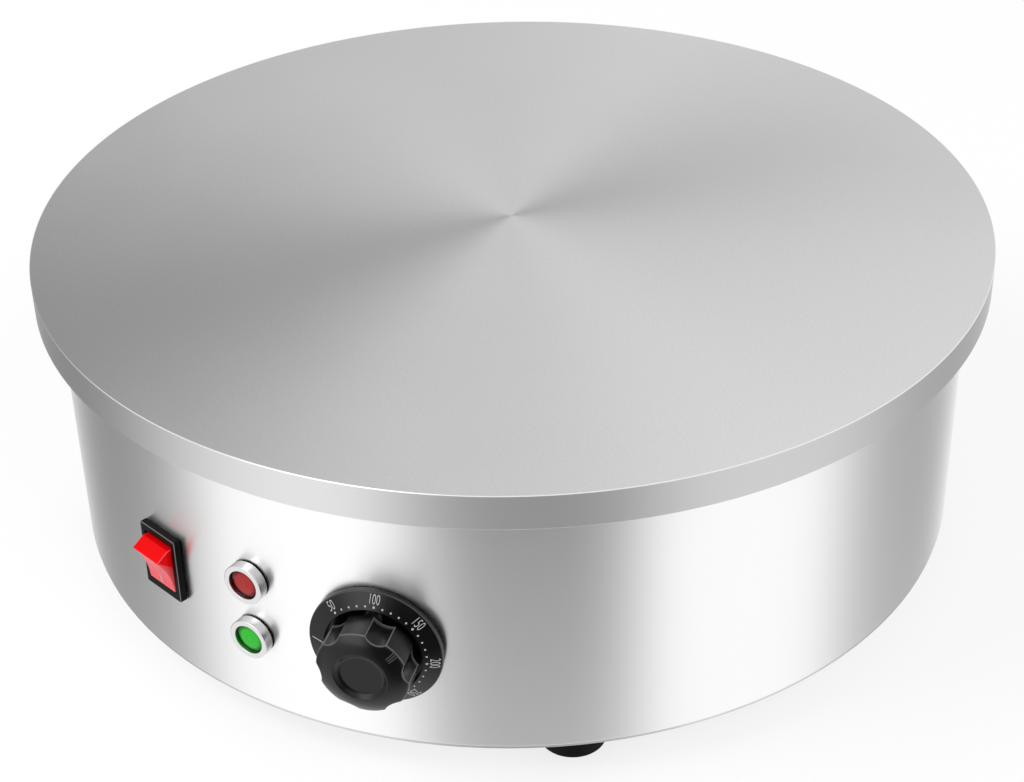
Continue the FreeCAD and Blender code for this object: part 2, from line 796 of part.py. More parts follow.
def make_heating_element():
    level = size(ELEMENT_LEVEL)
    outer, inner = size(ELEMENT_OUTER), size(ELEMENT_INNER)
    first, last = size("element_outer_end"), size("element_inner_end")
    hairpin = size("element_hairpin") - 360
    (foot_1, top_1, bend_1, end_1), (foot_2, top_2, bend_2, end_2) = element_legs()
    edges = [Part.LineSegment(foot_1, top_1).toShape(), Part.Arc(top_1, bend_1, end_1).toShape()]
    half = (first + hairpin) / 2
    edges += [ring_arc(outer, first, half, level), ring_arc(outer, half, hairpin, level)]
    turn = math.radians(hairpin)
    onward = Vector(math.sin(turn), -math.cos(turn), 0) * ((outer - inner) / 2)
    tip = ring_point((outer + inner) / 2, hairpin, level) + onward
    bend_start, bend_finish = (ring_point(radius, hairpin, level) for radius in (outer, inner))
    edges.append(Part.Arc(bend_start, tip, bend_finish).toShape())
    half = (hairpin + last) / 2
    edges += [ring_arc(inner, hairpin, half, level), ring_arc(inner, half, last, level)]
    edges += [Part.Arc(end_2, bend_2, top_2).toShape(), Part.LineSegment(top_2, foot_2).toShape()]
    sheath = swept("heating_element", edges, size("element_radius"))
    pin_radius, pin_drop = size("element_pin_radius"), Vector(0, 0, size("element_pin_length"))
    pin_length = size("element_pin_length + element_radius")
    pins = [Part.makeCylinder(pin_radius, pin_length, foot - pin_drop) for foot in (foot_1, foot_2)]
    feature("heating_element", sheath.fuse(pins).removeSplitter())


# Ceramic bushings that carry the cold legs through the pad and the tray

def make_bushings():
    rings = []
    for foot, _, _, _ in element_legs():
        ring = Part.makeCylinder(size("bushing_radius"), size("bushing_length"))
        bore = Part.makeCylinder(size("element_radius + hole_gap"), size("bushing_length"))
        ring = ring.cut(bore)
        ring.translate(Vector(foot.x, foot.y, size(f"{TRAY_BELOW} - bushing_drop")))
        rings.append(ring)
    feature("element_bushings", Part.Compound(rings))


# Tie rods from the plate's bosses down through bars, tray and pan, with their nuts and washers

def make_tie_rods():
    rods, clamp_nuts, tray_nuts, base_nuts, base_washers = [], [], [], [], []
    rod_bottom = "foot_height - tie_tail"
    rod_top = f"{WEB_BELOW} - tie_fit"
    for angle in TIE_ANGLES:
        rod = cylinder("tie_rod", "tie_radius", f"{rod_top} - ({rod_bottom})")
        rods.append(polar(rod, TIE_CIRCLE, angle, rod_bottom))
        upper = nut("clamp_nut", "nut_across", "tie_radius", "nut_height")
        clamp_nuts.append(polar(upper, TIE_CIRCLE, angle, f"{CLAMP_NUT_BOTTOM} - seat_gap", angle))
        middle = nut("tray_nut", "nut_across", "tie_radius", "nut_height")
        tray_nuts.append(polar(middle, TIE_CIRCLE, angle, f"{TRAY_BELOW} - nut_height - seat_gap", angle))
        disc = washer("base_washer", "washer_radius", "tie_radius", "washer_sheet")
        base_washers.append(polar(disc, TIE_CIRCLE, angle, "foot_height - washer_sheet - seat_gap"))
        lower = nut("base_nut", "nut_across", "tie_radius", "nut_height")
        lower_z = "foot_height - washer_sheet - nut_height - 2 * seat_gap"
        base_nuts.append(polar(lower, TIE_CIRCLE, angle, lower_z, angle))
    group("tie_rods", rods)
    group("clamp_nuts", clamp_nuts)
    group("tray_nuts", tray_nuts)
    group("base_washers", base_washers)
    group("base_nuts", base_nuts)


def make_clamp_bars():
    bars = []
    length = f"({ELEMENT_OUTER} - {ELEMENT_INNER} + 2 * bar_overrun)"
    for angle in TIE_ANGLES:
        bar = slab("clamp_bar_blank", "bar_width", length, "bar_sheet")
        through_hole(bar, "tie_radius + hole_gap", "0", "0")
        bars.append(polar(bar, TIE_CIRCLE, angle, f"{BAR_TOP} - bar_sheet", angle))
    group("element_clamp_bars", bars)


# Insulation pad and the heat tray that holds it

def tray_holes():
    """Cylinders that open the pad and the tray for the rods, the element's legs and the capillary."""
    length = "(pad_thickness * 2)"
    low = f"({TRAY_FLOOR} - pad_thickness / 2)"
    tools = []
    for angle in TIE_ANGLES:
        hole = cylinder("tray_rod_hole", "tie_radius + hole_gap", length)
        tools.append(polar(hole, TIE_CIRCLE, angle, low))
    for foot, _, _, _ in element_legs():
        start = Vector(foot.x, foot.y, size(low))
        hole = Part.makeCylinder(size("bushing_radius + hole_gap"), size(length), start)
        tools.append(feature("leg_hole", hole))
    hole = cylinder("capillary_hole", "capillary_hole", length)
    tools.append(place(hole, CAPILLARY_DROP_X, "bulb_back", low))
    return tools


def make_insulation():
    pad = turned("insulation_disc", [
        ("0", TRAY_FLOOR),
        (f"{TRAY_RADIUS} - tray_sheet - pad_gap", TRAY_FLOOR),
        (f"{TRAY_RADIUS} - tray_sheet - pad_gap", PAD_TOP),
        ("0", PAD_TOP),
    ])
    cut("insulation_pad", pad, *tray_holes())
    tray = turned("heat_tray_dish", [
        ("0", TRAY_BELOW),
        (TRAY_RADIUS, TRAY_BELOW),
        (TRAY_RADIUS, PAD_TOP),
        (f"{TRAY_RADIUS} - tray_sheet", PAD_TOP),
        (f"{TRAY_RADIUS} - tray_sheet", TRAY_FLOOR),
        ("0", TRAY_FLOOR),
    ])
    cut("heat_tray", tray, *tray_holes())


# Rocker switch: framed housing, rocker on its pins and four spades

def make_switch():
    frame = slab("switch_frame_plate", "switch_width", "switch_height", "switch_frame", "seat_gap")
    depth = "(switch_body_depth + seat_gap)"
    body = slab("switch_body", "switch_body_width", "switch_body_height", depth, "-switch_body_depth")
    well_width = "(rocker_width + 2 * rocker_gap)"
    well_height = "(2 * (sqrt(rocker_ridge ^ 2 + rocker_crown ^ 2) + rocker_gap))"
    well_depth = "(rocker_floor + switch_frame)"
    well = slab("switch_well", well_width, well_height, well_depth, f"{ROCKER_PIVOT} - rocker_floor")
    pin_reach = "(rocker_width + 2 * rocker_pin_length + 2 * rocker_gap)"
    pin_hole = cylinder("rocker_pin_hole", "rocker_pin_radius + pin_fit", pin_reach)
    pin_hole = lie_along_x(pin_hole, pin_reach, ROCKER_PIVOT)
    housing = cut("switch_housing", join("switch_solid", frame, body), well, pin_hole)
    on_drum(housing, "switch_angle", SWITCH_HEIGHT)

    rocker = padded("rocker_cap", "YZ_Plane", [
        ("rocker_ridge", "rocker_crown", "(rocker_ridge ^ 2 + rocker_sag ^ 2) / (2 * rocker_sag)"),
        ("-rocker_ridge", "rocker_crown"),
        ("-rocker_end", "-rocker_shoulder"),
        ("-rocker_end + rocker_taper", "-rocker_skirt"),
        ("rocker_end - rocker_taper", "-rocker_skirt"),
        ("rocker_end", "-rocker_shoulder"),
    ], "rocker_width", symmetric=True)
    pin_length = "(rocker_width + 2 * rocker_pin_length)"
    pins = lie_along_x(cylinder("rocker_pins", "rocker_pin_radius", pin_length), pin_length, "0")
    whole = join("switch_rocker", rocker, pins)
    on_drum(whole, "switch_angle", SWITCH_HEIGHT, ROCKER_PIVOT, tilt="rocker_tilt")

    spades = []
    for right in ("-switch_spade_x", "switch_spade_x"):
        for up in ("-switch_spade_y", "switch_spade_y"):
            blade = spade("switch_spade", "switch_angle", SWITCH_HEIGHT, "-switch_body_depth", right, up)
            spades.append(blade)
    group("switch_terminals", spades)


# Pilot lamps, alike but for the lens: gasket, bezel, lens, barrel with two pins, and nut

def make_lamp(colour):
    height = LAMP_HEIGHTS[colour]
    low = "(gasket_thickness + 2 * seat_gap)"
    floor = "(lens_base - seat_gap)"
    gasket = turned(f"{colour}_lamp_gasket", [
        ("lamp_barrel + seat_gap", "seat_gap"),
        ("lamp_radius - gasket_setback", "seat_gap"),
        ("lamp_radius - gasket_setback", "seat_gap + gasket_thickness"),
        ("lamp_barrel + seat_gap", "seat_gap + gasket_thickness"),
    ])
    bezel = turned(f"{colour}_lamp_bezel", [
        ("lamp_barrel + seat_gap", low),
        ("lamp_radius", low),
        ("lamp_radius", "lamp_projection - lamp_edge"),
        ("lamp_radius - lamp_edge", "lamp_projection"),
        ("lamp_opening", "lamp_projection"),
        ("lamp_opening", floor),
        ("lamp_barrel + seat_gap", floor),
    ])
    dome_fall = "sqrt(lens_dome ^ 2 - lens_top_radius ^ 2)"
    lens = turned(f"{colour}_lamp_lens", [
        ("0", "lens_base"),
        ("lamp_opening - seat_gap", "lens_base"),
        ("lamp_opening - seat_gap", "lens_shoulder"),
        ("lens_top_radius", f"lens_crown - lens_dome + {dome_fall}", "-lens_dome"),
        ("0", "lens_crown"),
    ])
    tube = cylinder(f"{colour}_lamp_barrel", "lamp_barrel", f"lamp_depth + {floor}")
    parts = [place(tube, z="-lamp_depth")]
    for right in ("-lamp_pin_spacing / 2", "lamp_pin_spacing / 2"):
        pin = cylinder(f"{colour}_lamp_pin", "lamp_pin_radius", "lamp_pin_length")
        parts.append(place(pin, right, "0", "-lamp_depth - lamp_pin_length"))
    barrel = join(f"{colour}_lamp_body", *parts)
    fixing = nut(f"{colour}_lamp_nut", "lamp_nut_across", "lamp_barrel", "lamp_nut_height")
    for piece in (gasket, bezel, lens, barrel):
        on_drum(piece, "lamp_angle", height)
    on_drum(fixing, "lamp_angle", height, f"{drum_chord('lamp_nut_across / sqrt(3)')} - lamp_nut_height")


# Thermostat: body with its collar, the turning shaft, two spades, and the screws shared with the dial plate

THERMOSTAT_FRONT = f"({drum_chord('thermostat_width / 2')})"
THERMOSTAT_BACK = f"({THERMOSTAT_FRONT} - thermostat_depth)"


def make_thermostat():
    width, height, depth = "thermostat_width", "thermostat_height", "thermostat_depth"
    block = slab("thermostat_case", width, height, depth, THERMOSTAT_BACK)
    collar_back = f"({THERMOSTAT_FRONT} - collar_radius)"
    collar = cylinder("thermostat_collar", "collar_radius", f"shell_sheet - {collar_back}")
    place(collar, z=collar_back)
    bore = cylinder("thermostat_bore", "shaft_radius + shaft_fit", "shaft_inset + hole_gap + shell_sheet")
    tools = [place(bore, z="-shaft_inset - hole_gap")]
    for up in ("dial_screw_spacing / 2", "-dial_screw_spacing / 2"):
        drill = cylinder("thermostat_screw_hole", "dial_screw_radius + tie_fit", "dial_screw_length")
        tools.append(place(drill, "0", up, "-dial_screw_length"))
    body = cut("thermostat_body", join("thermostat_solid", block, collar), *tools)
    on_drum(body, "knob_angle", KNOB_HEIGHT)

    bar = place(cylinder("shaft_bar", "shaft_radius", "shaft_inset + shaft_reach"), z="-shaft_inset")
    flat = box("shaft_flat_cut", "shaft_radius", "shaft_radius * 4", "shaft_reach")
    place(flat, "shaft_radius - shaft_flat", "-shaft_radius * 2", DIAL_FLOOR)
    on_drum(cut("thermostat_shaft", bar, flat), "knob_angle", KNOB_HEIGHT)

    spades = []
    for up in ("-thermostat_spade_y", "thermostat_spade_y"):
        spades.append(spade("thermostat_spade", "knob_angle", KNOB_HEIGHT, THERMOSTAT_BACK, "0", up))
    group("thermostat_terminals", spades)

    screws = []
    for up in ("dial_screw_spacing / 2", "-dial_screw_spacing / 2"):
        head = cylinder("dial_screw_head", "dial_screw_head", "dial_screw_head_height")
        on_drum(head, "knob_angle", KNOB_HEIGHT, f"{DIAL_FLOOR} + seat_gap", "0", up)
        start = "(hole_gap - dial_screw_length)"
        shank = cylinder("dial_screw_shank", "dial_screw_radius", f"{DIAL_FLOOR} + 2 * seat_gap - {start}")
        on_drum(shank, "knob_angle", KNOB_HEIGHT, start, "0", up)
        screws.append(join("dial_screw", head, shank))
    group("dial_screws", screws)


def make_dial_plate():
    plate = turned("dial_blank", [
        ("collar_radius + hole_gap", "seat_gap"),
        ("dial_hub", "seat_gap"),
        ("dial_hub", "dial_standoff"),
        ("dial_radius - dial_edge", "dial_standoff"),
        ("dial_radius", "dial_standoff + dial_edge"),
        ("dial_radius", "dial_rim - dial_edge"),
        ("dial_radius - dial_edge", "dial_rim"),
        ("dial_inner_radius", "dial_face"),
        ("dial_inner_radius", DIAL_FLOOR),
        ("collar_radius + hole_gap", DIAL_FLOOR),
    ])
    holes = []
    for up in ("dial_screw_spacing / 2", "-dial_screw_spacing / 2"):
        hole = cylinder("dial_screw_hole", "dial_screw_radius + tie_fit", "dial_face")
        holes.append(place(hole, y=up))
    on_drum(cut("dial_plate", plate, *holes), "knob_angle", KNOB_HEIGHT)


# Control knob: domed grip with flutes, a dished top, a D-bored hub and three pointer lines

def make_control_knob():
    cavity = "(knob_rim_radius - flute_depth - knob_wall)"
    grip = turned("knob_blank", [
        ("0", f"{KNOB_BASE} - knob_hub_drop"),
        ("knob_hub", f"{KNOB_BASE} - knob_hub_drop"),
        ("knob_hub", f"{KNOB_BASE} + knob_cavity"),
        (cavity, f"{KNOB_BASE} + knob_cavity"),
        (cavity, KNOB_BASE),
        ("knob_base_radius", KNOB_BASE),
        ("knob_rim_radius", "dial_face + knob_rim", "-knob_dome"),
        ("knob_dish_radius", KNOB_TOP),
        ("knob_dish_radius - knob_dish_slope", f"{KNOB_TOP} - knob_dish_depth"),
        ("0", f"{KNOB_TOP} - knob_dish_depth"),
    ])
    hub_end = f"{KNOB_BASE} - knob_hub_drop"
    bore = place(cylinder("knob_bore_round", "shaft_radius + shaft_fit / 2", "knob_bore_depth"), z=hub_end)
    flat = box("knob_bore_flat", "shaft_radius", "shaft_radius * 4", "knob_bore_depth")
    place(flat, "shaft_radius - shaft_flat + shaft_fit / 2", "-shaft_radius * 2", hub_end)
    tools = [cut("knob_bore", bore, flat)]
    reach = "(knob_rim_radius - flute_depth + flute_radius)"
    for angle in around("flute_count", "flute_start"):
        flute = cylinder("knob_flute", "flute_radius", "knob_crown * 2")
        place(flute, f"{reach} * sin({angle})", f"{reach} * cos({angle})", "dial_face - knob_lift")
        tools.append(flute)
    slope = "atan((knob_crown - knob_rim) / (knob_rim_radius - knob_dish_radius))"
    start = "(knob_rim_radius - pointer_length)"
    level = f"({KNOB_TOP} - pointer_depth - ({start} - knob_dish_radius) * tan({slope}) + pointer_depth / 2)"
    for step in (-1, 0, 1):
        turn = f"(90 - knob_pointer - ({step}) * pointer_pitch)"
        line = box("knob_pointer_line", "pointer_length * 2", "pointer_width", "knob_crown - knob_rim")
        x = f"{start} * cos({turn}) + pointer_width / 2 * sin({turn})"
        y = f"{start} * sin({turn}) - pointer_width / 2 * cos({turn})"
        tools.append(place(line, x, y, level, yaw=turn, pitch=slope))
    on_drum(cut("control_knob", grip, *tools), "knob_angle", KNOB_HEIGHT)


# Thermostat bulb under the plate, and the capillary from it down through the tray to the thermostat

def make_bulb():
    bulb = cylinder("thermostat_bulb", "bulb_radius", "bulb_length")
    lie_along_x(bulb, "bulb_length", BULB_LEVEL, "bulb_back")
    level, back = size(BULB_LEVEL), size("bulb_back")
    drop = size(CAPILLARY_DROP_X)
    right, up = size("capillary_right"), size("capillary_up")
    entry = size(THERMOSTAT_BACK)
    route = [
        Vector(size("bulb_length / 2"), back, level),
        Vector(drop, back, level),
        Vector(drop, back, size(f"{TRAY_BELOW} - capillary_drop")),
        drum_point("knob_angle", KNOB_HEIGHT, entry - size("capillary_approach"), right, up),
        drum_point("knob_angle", KNOB_HEIGHT, entry, right, up),
    ]
    wires("thermostat_capillary", [route], "capillary_radius")


# Cable gland at the back: body, rubber seal, dome nut and lock nut

def make_gland():
    flange = place(hexagon("gland_hexagon", "gland_flange_across", "gland_flange"), z="seat_gap")
    inner = cylinder("gland_inner_thread", "gland_thread", "gland_inside + seat_gap * 2")
    place(inner, z="-gland_inside")
    neck = cylinder("gland_outer_thread", "gland_neck", "gland_neck_length + gland_flange / 2")
    place(neck, z="seat_gap + gland_flange / 2")
    bore = cylinder("gland_body_bore", "gland_bore", "(gland_inside + gland_reach) * 2")
    place(bore, z="-gland_inside * 2")
    body = cut("gland_body", join("gland_solid", flange, inner, neck), bore)
    cap_low = "(gland_flange + 3 * seat_gap)"
    cap_inside = "(gland_reach - gland_nose)"
    cap_radius = "(gland_flange_across / 2)"
    cap = turned("gland_dome_nut", [
        ("gland_neck + seat_gap", cap_low),
        (cap_radius, cap_low),
        (cap_radius, cap_inside),
        ("gland_mouth + gland_nose / 2", "gland_reach"),
        ("gland_mouth", "gland_reach"),
        ("gland_mouth", cap_inside),
        ("gland_neck + seat_gap", cap_inside),
    ])
    seal_top = f"{cap_inside} - seat_gap"
    seal = turned("gland_seal", [
        ("gland_seal_bore", f"{seal_top} - gland_seal_length"),
        ("gland_bore - seat_gap", f"{seal_top} - gland_seal_length"),
        ("gland_bore - seat_gap", seal_top),
        ("gland_seal_bore", seal_top),
    ])
    for piece in (body, cap, seal):
        on_drum(piece, GLAND_ANGLE, GLAND_HEIGHT)
    lock = nut("gland_locknut", "locknut_across", "gland_thread", "locknut_height")
    on_drum(lock, GLAND_ANGLE, GLAND_HEIGHT, f"{drum_chord('locknut_across / sqrt(3)')} - locknut_height")


# Terminal block and earth stud on the base pan

def block_screw_places():
    return [(f"block_x + ({side}) * block_pitch / 2", "block_y") for side in (-1, 1)]


def make_terminal_block():
    seat = f"{SHELL_BOTTOM} + seat_gap"
    blank = slab("terminal_blank", "block_length", "block_width", "block_height")
    place(blank, "block_x", "block_y", seat)
    tools = []
    for side in (-1, 0, 1):
        way = cylinder("terminal_way", "block_way_radius", "block_width * 2")
        x = f"block_x + ({side}) * block_pitch"
        tools.append(place(way, x, "block_y + block_width", f"{seat} + block_height / 2", roll="90"))
    for x, y in block_screw_places():
        drill = cylinder("terminal_screw_hole", "block_screw_radius + tie_fit", "block_height * 2")
        tools.append(place(drill, x, y, "foot_height"))
    cut("terminal_block", blank, *tools)
    screws = []
    for x, y in block_screw_places():
        head_z = f"({seat} + block_height + seat_gap)"
        head = cylinder("block_screw_head", "block_screw_head", "block_screw_head_height")
        place(head, x, y, head_z)
        shank_length = f"{head_z} + block_screw_head_height - foot_height"
        shank = place(cylinder("block_screw_shank", "block_screw_radius", shank_length), x, y, "foot_height")
        screws.append(join("block_screw", head, shank))
    group("terminal_block_screws", screws)


def make_earth_stud():
    head_z = "foot_height - seat_gap - earth_head_height"
    head = place(cylinder("earth_head", "earth_head", "earth_head_height"), "earth_x", "earth_y", head_z)
    shank = cylinder("earth_shank", "earth_radius", "earth_length + earth_head_height")
    place(shank, "earth_x", "earth_y", head_z)
    join("earth_stud", head, shank)
    fixing = nut("earth_nut", "earth_nut_across", "earth_radius", "earth_nut_height")
    place(fixing, "earth_x", "earth_y", f"{SHELL_BOTTOM} + seat_gap")


# Internal wiring, laid over the pan between the terminals

def spade_end(angle, height, tip, right, up):
    """The last two points of a wire that runs straight out to a control's spade."""
    return [drum_point(angle, height, tip - back, right, up) for back in (size("wire_approach"), 0)]


def switch_end(right, up):
    tip = -size("switch_body_depth + spade_length")
    return spade_end("switch_angle", SWITCH_HEIGHT, tip, size(right), size(up))


def thermostat_end(up):
    return spade_end("knob_angle", KNOB_HEIGHT, size(f"{THERMOSTAT_BACK} - spade_length"), 0.0, size(up))


def block_way(side):
    """The first two points of a wire that leaves one of the block's ways."""
    x = size(f"block_x + ({side}) * block_pitch")
    z = size(f"{SHELL_BOTTOM} + seat_gap + block_height / 2")
    return [Vector(x, size("block_y - wire_insert"), z), Vector(x, size("block_y - block_approach"), z)]


def over_pan(points):
    """Points given from the wiring level."""
    level = size(f"{SHELL_BOTTOM} + wire_level")
    return [Vector(x, y, level + rise) for x, y, rise in points]


def make_supply_wires():
    live = block_way(-1) + over_pan(SUPPLY_LIVE_POINTS)
    wires("supply_live_wire", [live + switch_end("-switch_spade_x", "-switch_spade_y")], "wire_radius")
    neutral = block_way(0) + over_pan(SUPPLY_NEUTRAL_POINTS)
    wires("supply_neutral_wire", [neutral + switch_end("-switch_spade_x", "switch_spade_y")], "wire_radius")


def make_element_wires():
    switched = switch_end("switch_spade_x", "switch_spade_y")
    wires("switched_live_wire", [switched[::-1] + thermostat_end("thermostat_spade_y")], "wire_radius")
    outer_pin, inner_pin = [leg[0] - Vector(0, 0, size("element_pin_length")) for leg in element_legs()]
    pin_fall = Vector(0, 0, size("wire_approach"))
    live = thermostat_end("-thermostat_spade_y")[::-1] + over_pan(ELEMENT_LIVE_POINTS)
    wires("element_live_wire", [live + [outer_pin - pin_fall, outer_pin]], "wire_radius")
    neutral = [inner_pin, inner_pin - pin_fall] + over_pan(ELEMENT_NEUTRAL_POINTS)
    wires("element_neutral_wire", [neutral + switch_end("switch_spade_x", "-switch_spade_y")], "wire_radius")


def make_lamp_leads():
    """Two leads from each lamp's pins, down behind it and side by side to the front of the block."""
    low, high = size(f"{SHELL_BOTTOM} + lead_level"), size(f"{SHELL_BOTTOM} + lead_rise")
    pin = size("-lamp_depth - lamp_pin_length")
    pins = [(colour, side) for colour in ("green", "red") for side in (-1, 1)]
    routes = []
    for index, (colour, side) in enumerate(pins):
        right = size(f"({side}) * lamp_pin_spacing / 2")
        drop = pin - size(f"lead_drop + {index} * lead_stagger")
        beside = size(f"{index} * lead_pitch")
        routes.append([
            drum_point("lamp_angle", LAMP_HEIGHTS[colour], pin, right),
            drum_point("lamp_angle", LAMP_HEIGHTS[colour], drop, right),
            drum_point("lamp_angle", "0", drop, right, low),
            Vector(LEAD_TURN_X + beside, LEAD_TURN_Y + beside, low),
            Vector(LEAD_TURN_X + beside, 0, low),
            Vector(LEAD_ENDS_X[index], size("block_y - lead_climb_start"), low),
            Vector(LEAD_ENDS_X[index], size("block_y - lead_climb_end"), high),
            Vector(LEAD_ENDS_X[index], size("block_y - block_width / 2"), high),
        ])
    wires("lamp_leads", routes, "lead_radius")


def make_earth_wire():
    stud = Vector(size("earth_x"), size("earth_y"), size("foot_height - seat_gap + earth_length"))
    route = [stud, stud + Vector(0, 0, size("earth_rise"))] + over_pan(EARTH_POINTS)
    way, _ = block_way(1)
    for behind in ("earth_approach", "wire_insert"):
        route.append(Vector(way.x, size(f"block_y + {behind}"), way.z))
    wires("earth_wire", [route], "wire_radius")


make_griddle_plate()
make_heating_element()
make_bushings()
make_tie_rods()
make_clamp_bars()
make_insulation()
make_bulb_clip()
make_bulb()
make_drum_shell()
make_base_pan()
make_feet()
make_switch()
make_lamp("red")
make_lamp("green")
make_thermostat()
make_dial_plate()
make_control_knob()
make_gland()
make_terminal_block()
make_earth_stud()
make_supply_wires()
make_element_wires()
make_lamp_leads()
make_earth_wire()

SUB_PARTS = [
    "griddle_plate", "heating_element", "element_bushings", "element_clamp_bars", "tie_rods",
    "clamp_nuts", "tray_nuts", "base_washers", "base_nuts", "insulation_pad", "heat_tray", "bulb_clip",
    "bulb_clip_screws", "thermostat_bulb", "thermostat_capillary", "drum_shell", "base_pan",
    "foot_screws", "foot_washers", "foot_nuts", "switch_housing", "switch_rocker", "switch_terminals",
    "thermostat_body", "thermostat_shaft", "thermostat_terminals", "dial_screws", "dial_plate",
    "control_knob", "gland_body", "gland_dome_nut", "gland_seal", "gland_locknut", "terminal_block",
    "terminal_block_screws", "earth_stud", "earth_nut", "earth_wire", "supply_live_wire",
    "supply_neutral_wire", "switched_live_wire", "element_live_wire", "element_neutral_wire",
    "lamp_leads",
]
SUB_PARTS += [f"rubber_foot_{index}" for index, _ in enumerate(FOOT_ANGLES, start=1)]
for colour in LAMP_HEIGHTS:
    SUB_PARTS += [f"{colour}_lamp_{piece}" for piece in ("gasket", "bezel", "lens", "body", "nut")]

doc.recompute()

for item in doc.Objects:
    if "Invalid" in item.State or "Error" in item.State:
        raise RuntimeError(f"{item.Label} failed to recompute")

os.makedirs("parts", exist_ok=True)
for label in SUB_PARTS:
    (item,) = doc.getObjectsByLabel(label)
    shape = item.Shape
    if shape.isNull() or not shape.isValid() or not shape.Solids:
        raise RuntimeError(f"{label} has no valid solid")
    print(label, len(shape.Solids), "solids", round(shape.Volume), "mm3")
    shape.exportStep(f"parts/{label}.step")
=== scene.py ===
"""The looks of an electric crepe maker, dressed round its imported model.

Shapes are worked out in millimetres in each piece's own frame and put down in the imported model's frame, in metres.
There +Z is up, the controls are on the -Y side and the cord's gland is on the +Y side.
Angles round the drum are in degrees from -Y towards +X.
"""

import logging
from collections.abc import Callable
from dataclasses import dataclass
from enum import Enum

import bmesh
import bpy
import numpy as np
from mathutils import Matrix, Vector


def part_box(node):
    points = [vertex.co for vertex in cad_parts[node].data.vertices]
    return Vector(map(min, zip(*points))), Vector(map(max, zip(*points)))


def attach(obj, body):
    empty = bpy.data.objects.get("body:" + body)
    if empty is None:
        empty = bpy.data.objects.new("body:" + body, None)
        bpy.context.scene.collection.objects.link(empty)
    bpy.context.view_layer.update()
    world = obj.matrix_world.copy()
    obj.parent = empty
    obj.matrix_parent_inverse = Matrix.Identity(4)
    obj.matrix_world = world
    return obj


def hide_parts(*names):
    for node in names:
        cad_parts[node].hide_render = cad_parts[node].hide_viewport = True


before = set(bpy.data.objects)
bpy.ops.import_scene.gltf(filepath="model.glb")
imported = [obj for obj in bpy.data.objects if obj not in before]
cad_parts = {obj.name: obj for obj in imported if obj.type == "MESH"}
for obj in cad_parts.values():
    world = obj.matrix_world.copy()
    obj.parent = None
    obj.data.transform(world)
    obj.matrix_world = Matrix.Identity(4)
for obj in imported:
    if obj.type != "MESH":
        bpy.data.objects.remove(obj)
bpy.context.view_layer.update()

Array = np.ndarray
Tree = bpy.types.NodeTree
Node = bpy.types.Node
Socket = bpy.types.NodeSocket
Piece = bpy.types.Object
LOG = logging.getLogger("crepe_maker")
MM = 0.001
DRUM_RADIUS = 190.7
# Noise seldom leaves these two values, so a pattern is stretched from them to its own ends.
NOISE_LOW, NOISE_HIGH = 0.3, 0.7
# How far a print reaches into its surface and stands out of it, in millimetres.
PRINT_IN, PRINT_OUT = -0.05, 0.04
WHITE = (1.0, 1.0, 1.0, 1.0)


class Body(Enum):
    """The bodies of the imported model."""

    BASE = "base"
    KNOB = "knob"
    ROCKER = "rocker"


# Shapes


@dataclass(frozen=True)
class Place:
    """A piece's own frame: where its origin is, and where its x, y and z point.

    Args:
        origin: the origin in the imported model's frame, in millimetres
        axes: three rows, the directions of x, y and z
    """

    origin: Array
    axes: Array

    @classmethod
    def standing(cls, radius: float = 0.0, degrees: float = 0.0) -> "Place":
        """A frame that stands upright on the floor.

        Args:
            radius: its distance from the middle, in millimetres
            degrees: its direction from the middle, anticlockwise from +X

        Returns:
            The frame, with z up and x away from the middle.
        """
        turn = np.radians(degrees)
        away = np.array([np.cos(turn), np.sin(turn), 0.0])
        aside = np.array([-np.sin(turn), np.cos(turn), 0.0])
        return cls(away * radius, np.stack([away, aside, [0.0, 0.0, 1.0]]))

    @classmethod
    def drawn(cls) -> "Place":
        """A frame for a shape that is drawn in metres and put in its place later."""
        return cls(np.zeros(3), np.eye(3) / MM)

    @classmethod
    def on_drum(cls, angle: float, height: float) -> "Place":
        """A frame on the drum's outer face.

        Args:
            angle: degrees round the drum from -Y towards +X
            height: millimetres above the floor

        Returns:
            The frame, with x to the right, y up and z straight out of the drum.
        """
        turn = np.radians(angle)
        out = np.array([np.sin(turn), -np.cos(turn), 0.0])
        right = np.array([np.cos(turn), np.sin(turn), 0.0])
        return cls(out * DRUM_RADIUS + [0.0, 0.0, height], np.stack([right, [0.0, 0.0, 1.0], out]))

    def tilted(self, degrees: float, out: float) -> "Place":
        """The frame moved out along its z, then turned about its x.

        Args:
            degrees: the turn, which takes z down from straight out
            out: how far the new origin is from the old one, in millimetres

        Returns:
            The new frame.
        """
        turn = np.radians(degrees)
        right, up, away = self.axes
        leaning = np.stack([right, up * np.cos(turn) + away * np.sin(turn), away * np.cos(turn) - up * np.sin(turn)])
        return Place(self.origin + away * out, leaning)

    def carry(self, points: Array) -> Array:
        """Points of the piece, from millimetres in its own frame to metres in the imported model's."""
        return (self.origin + points @ self.axes) * MM


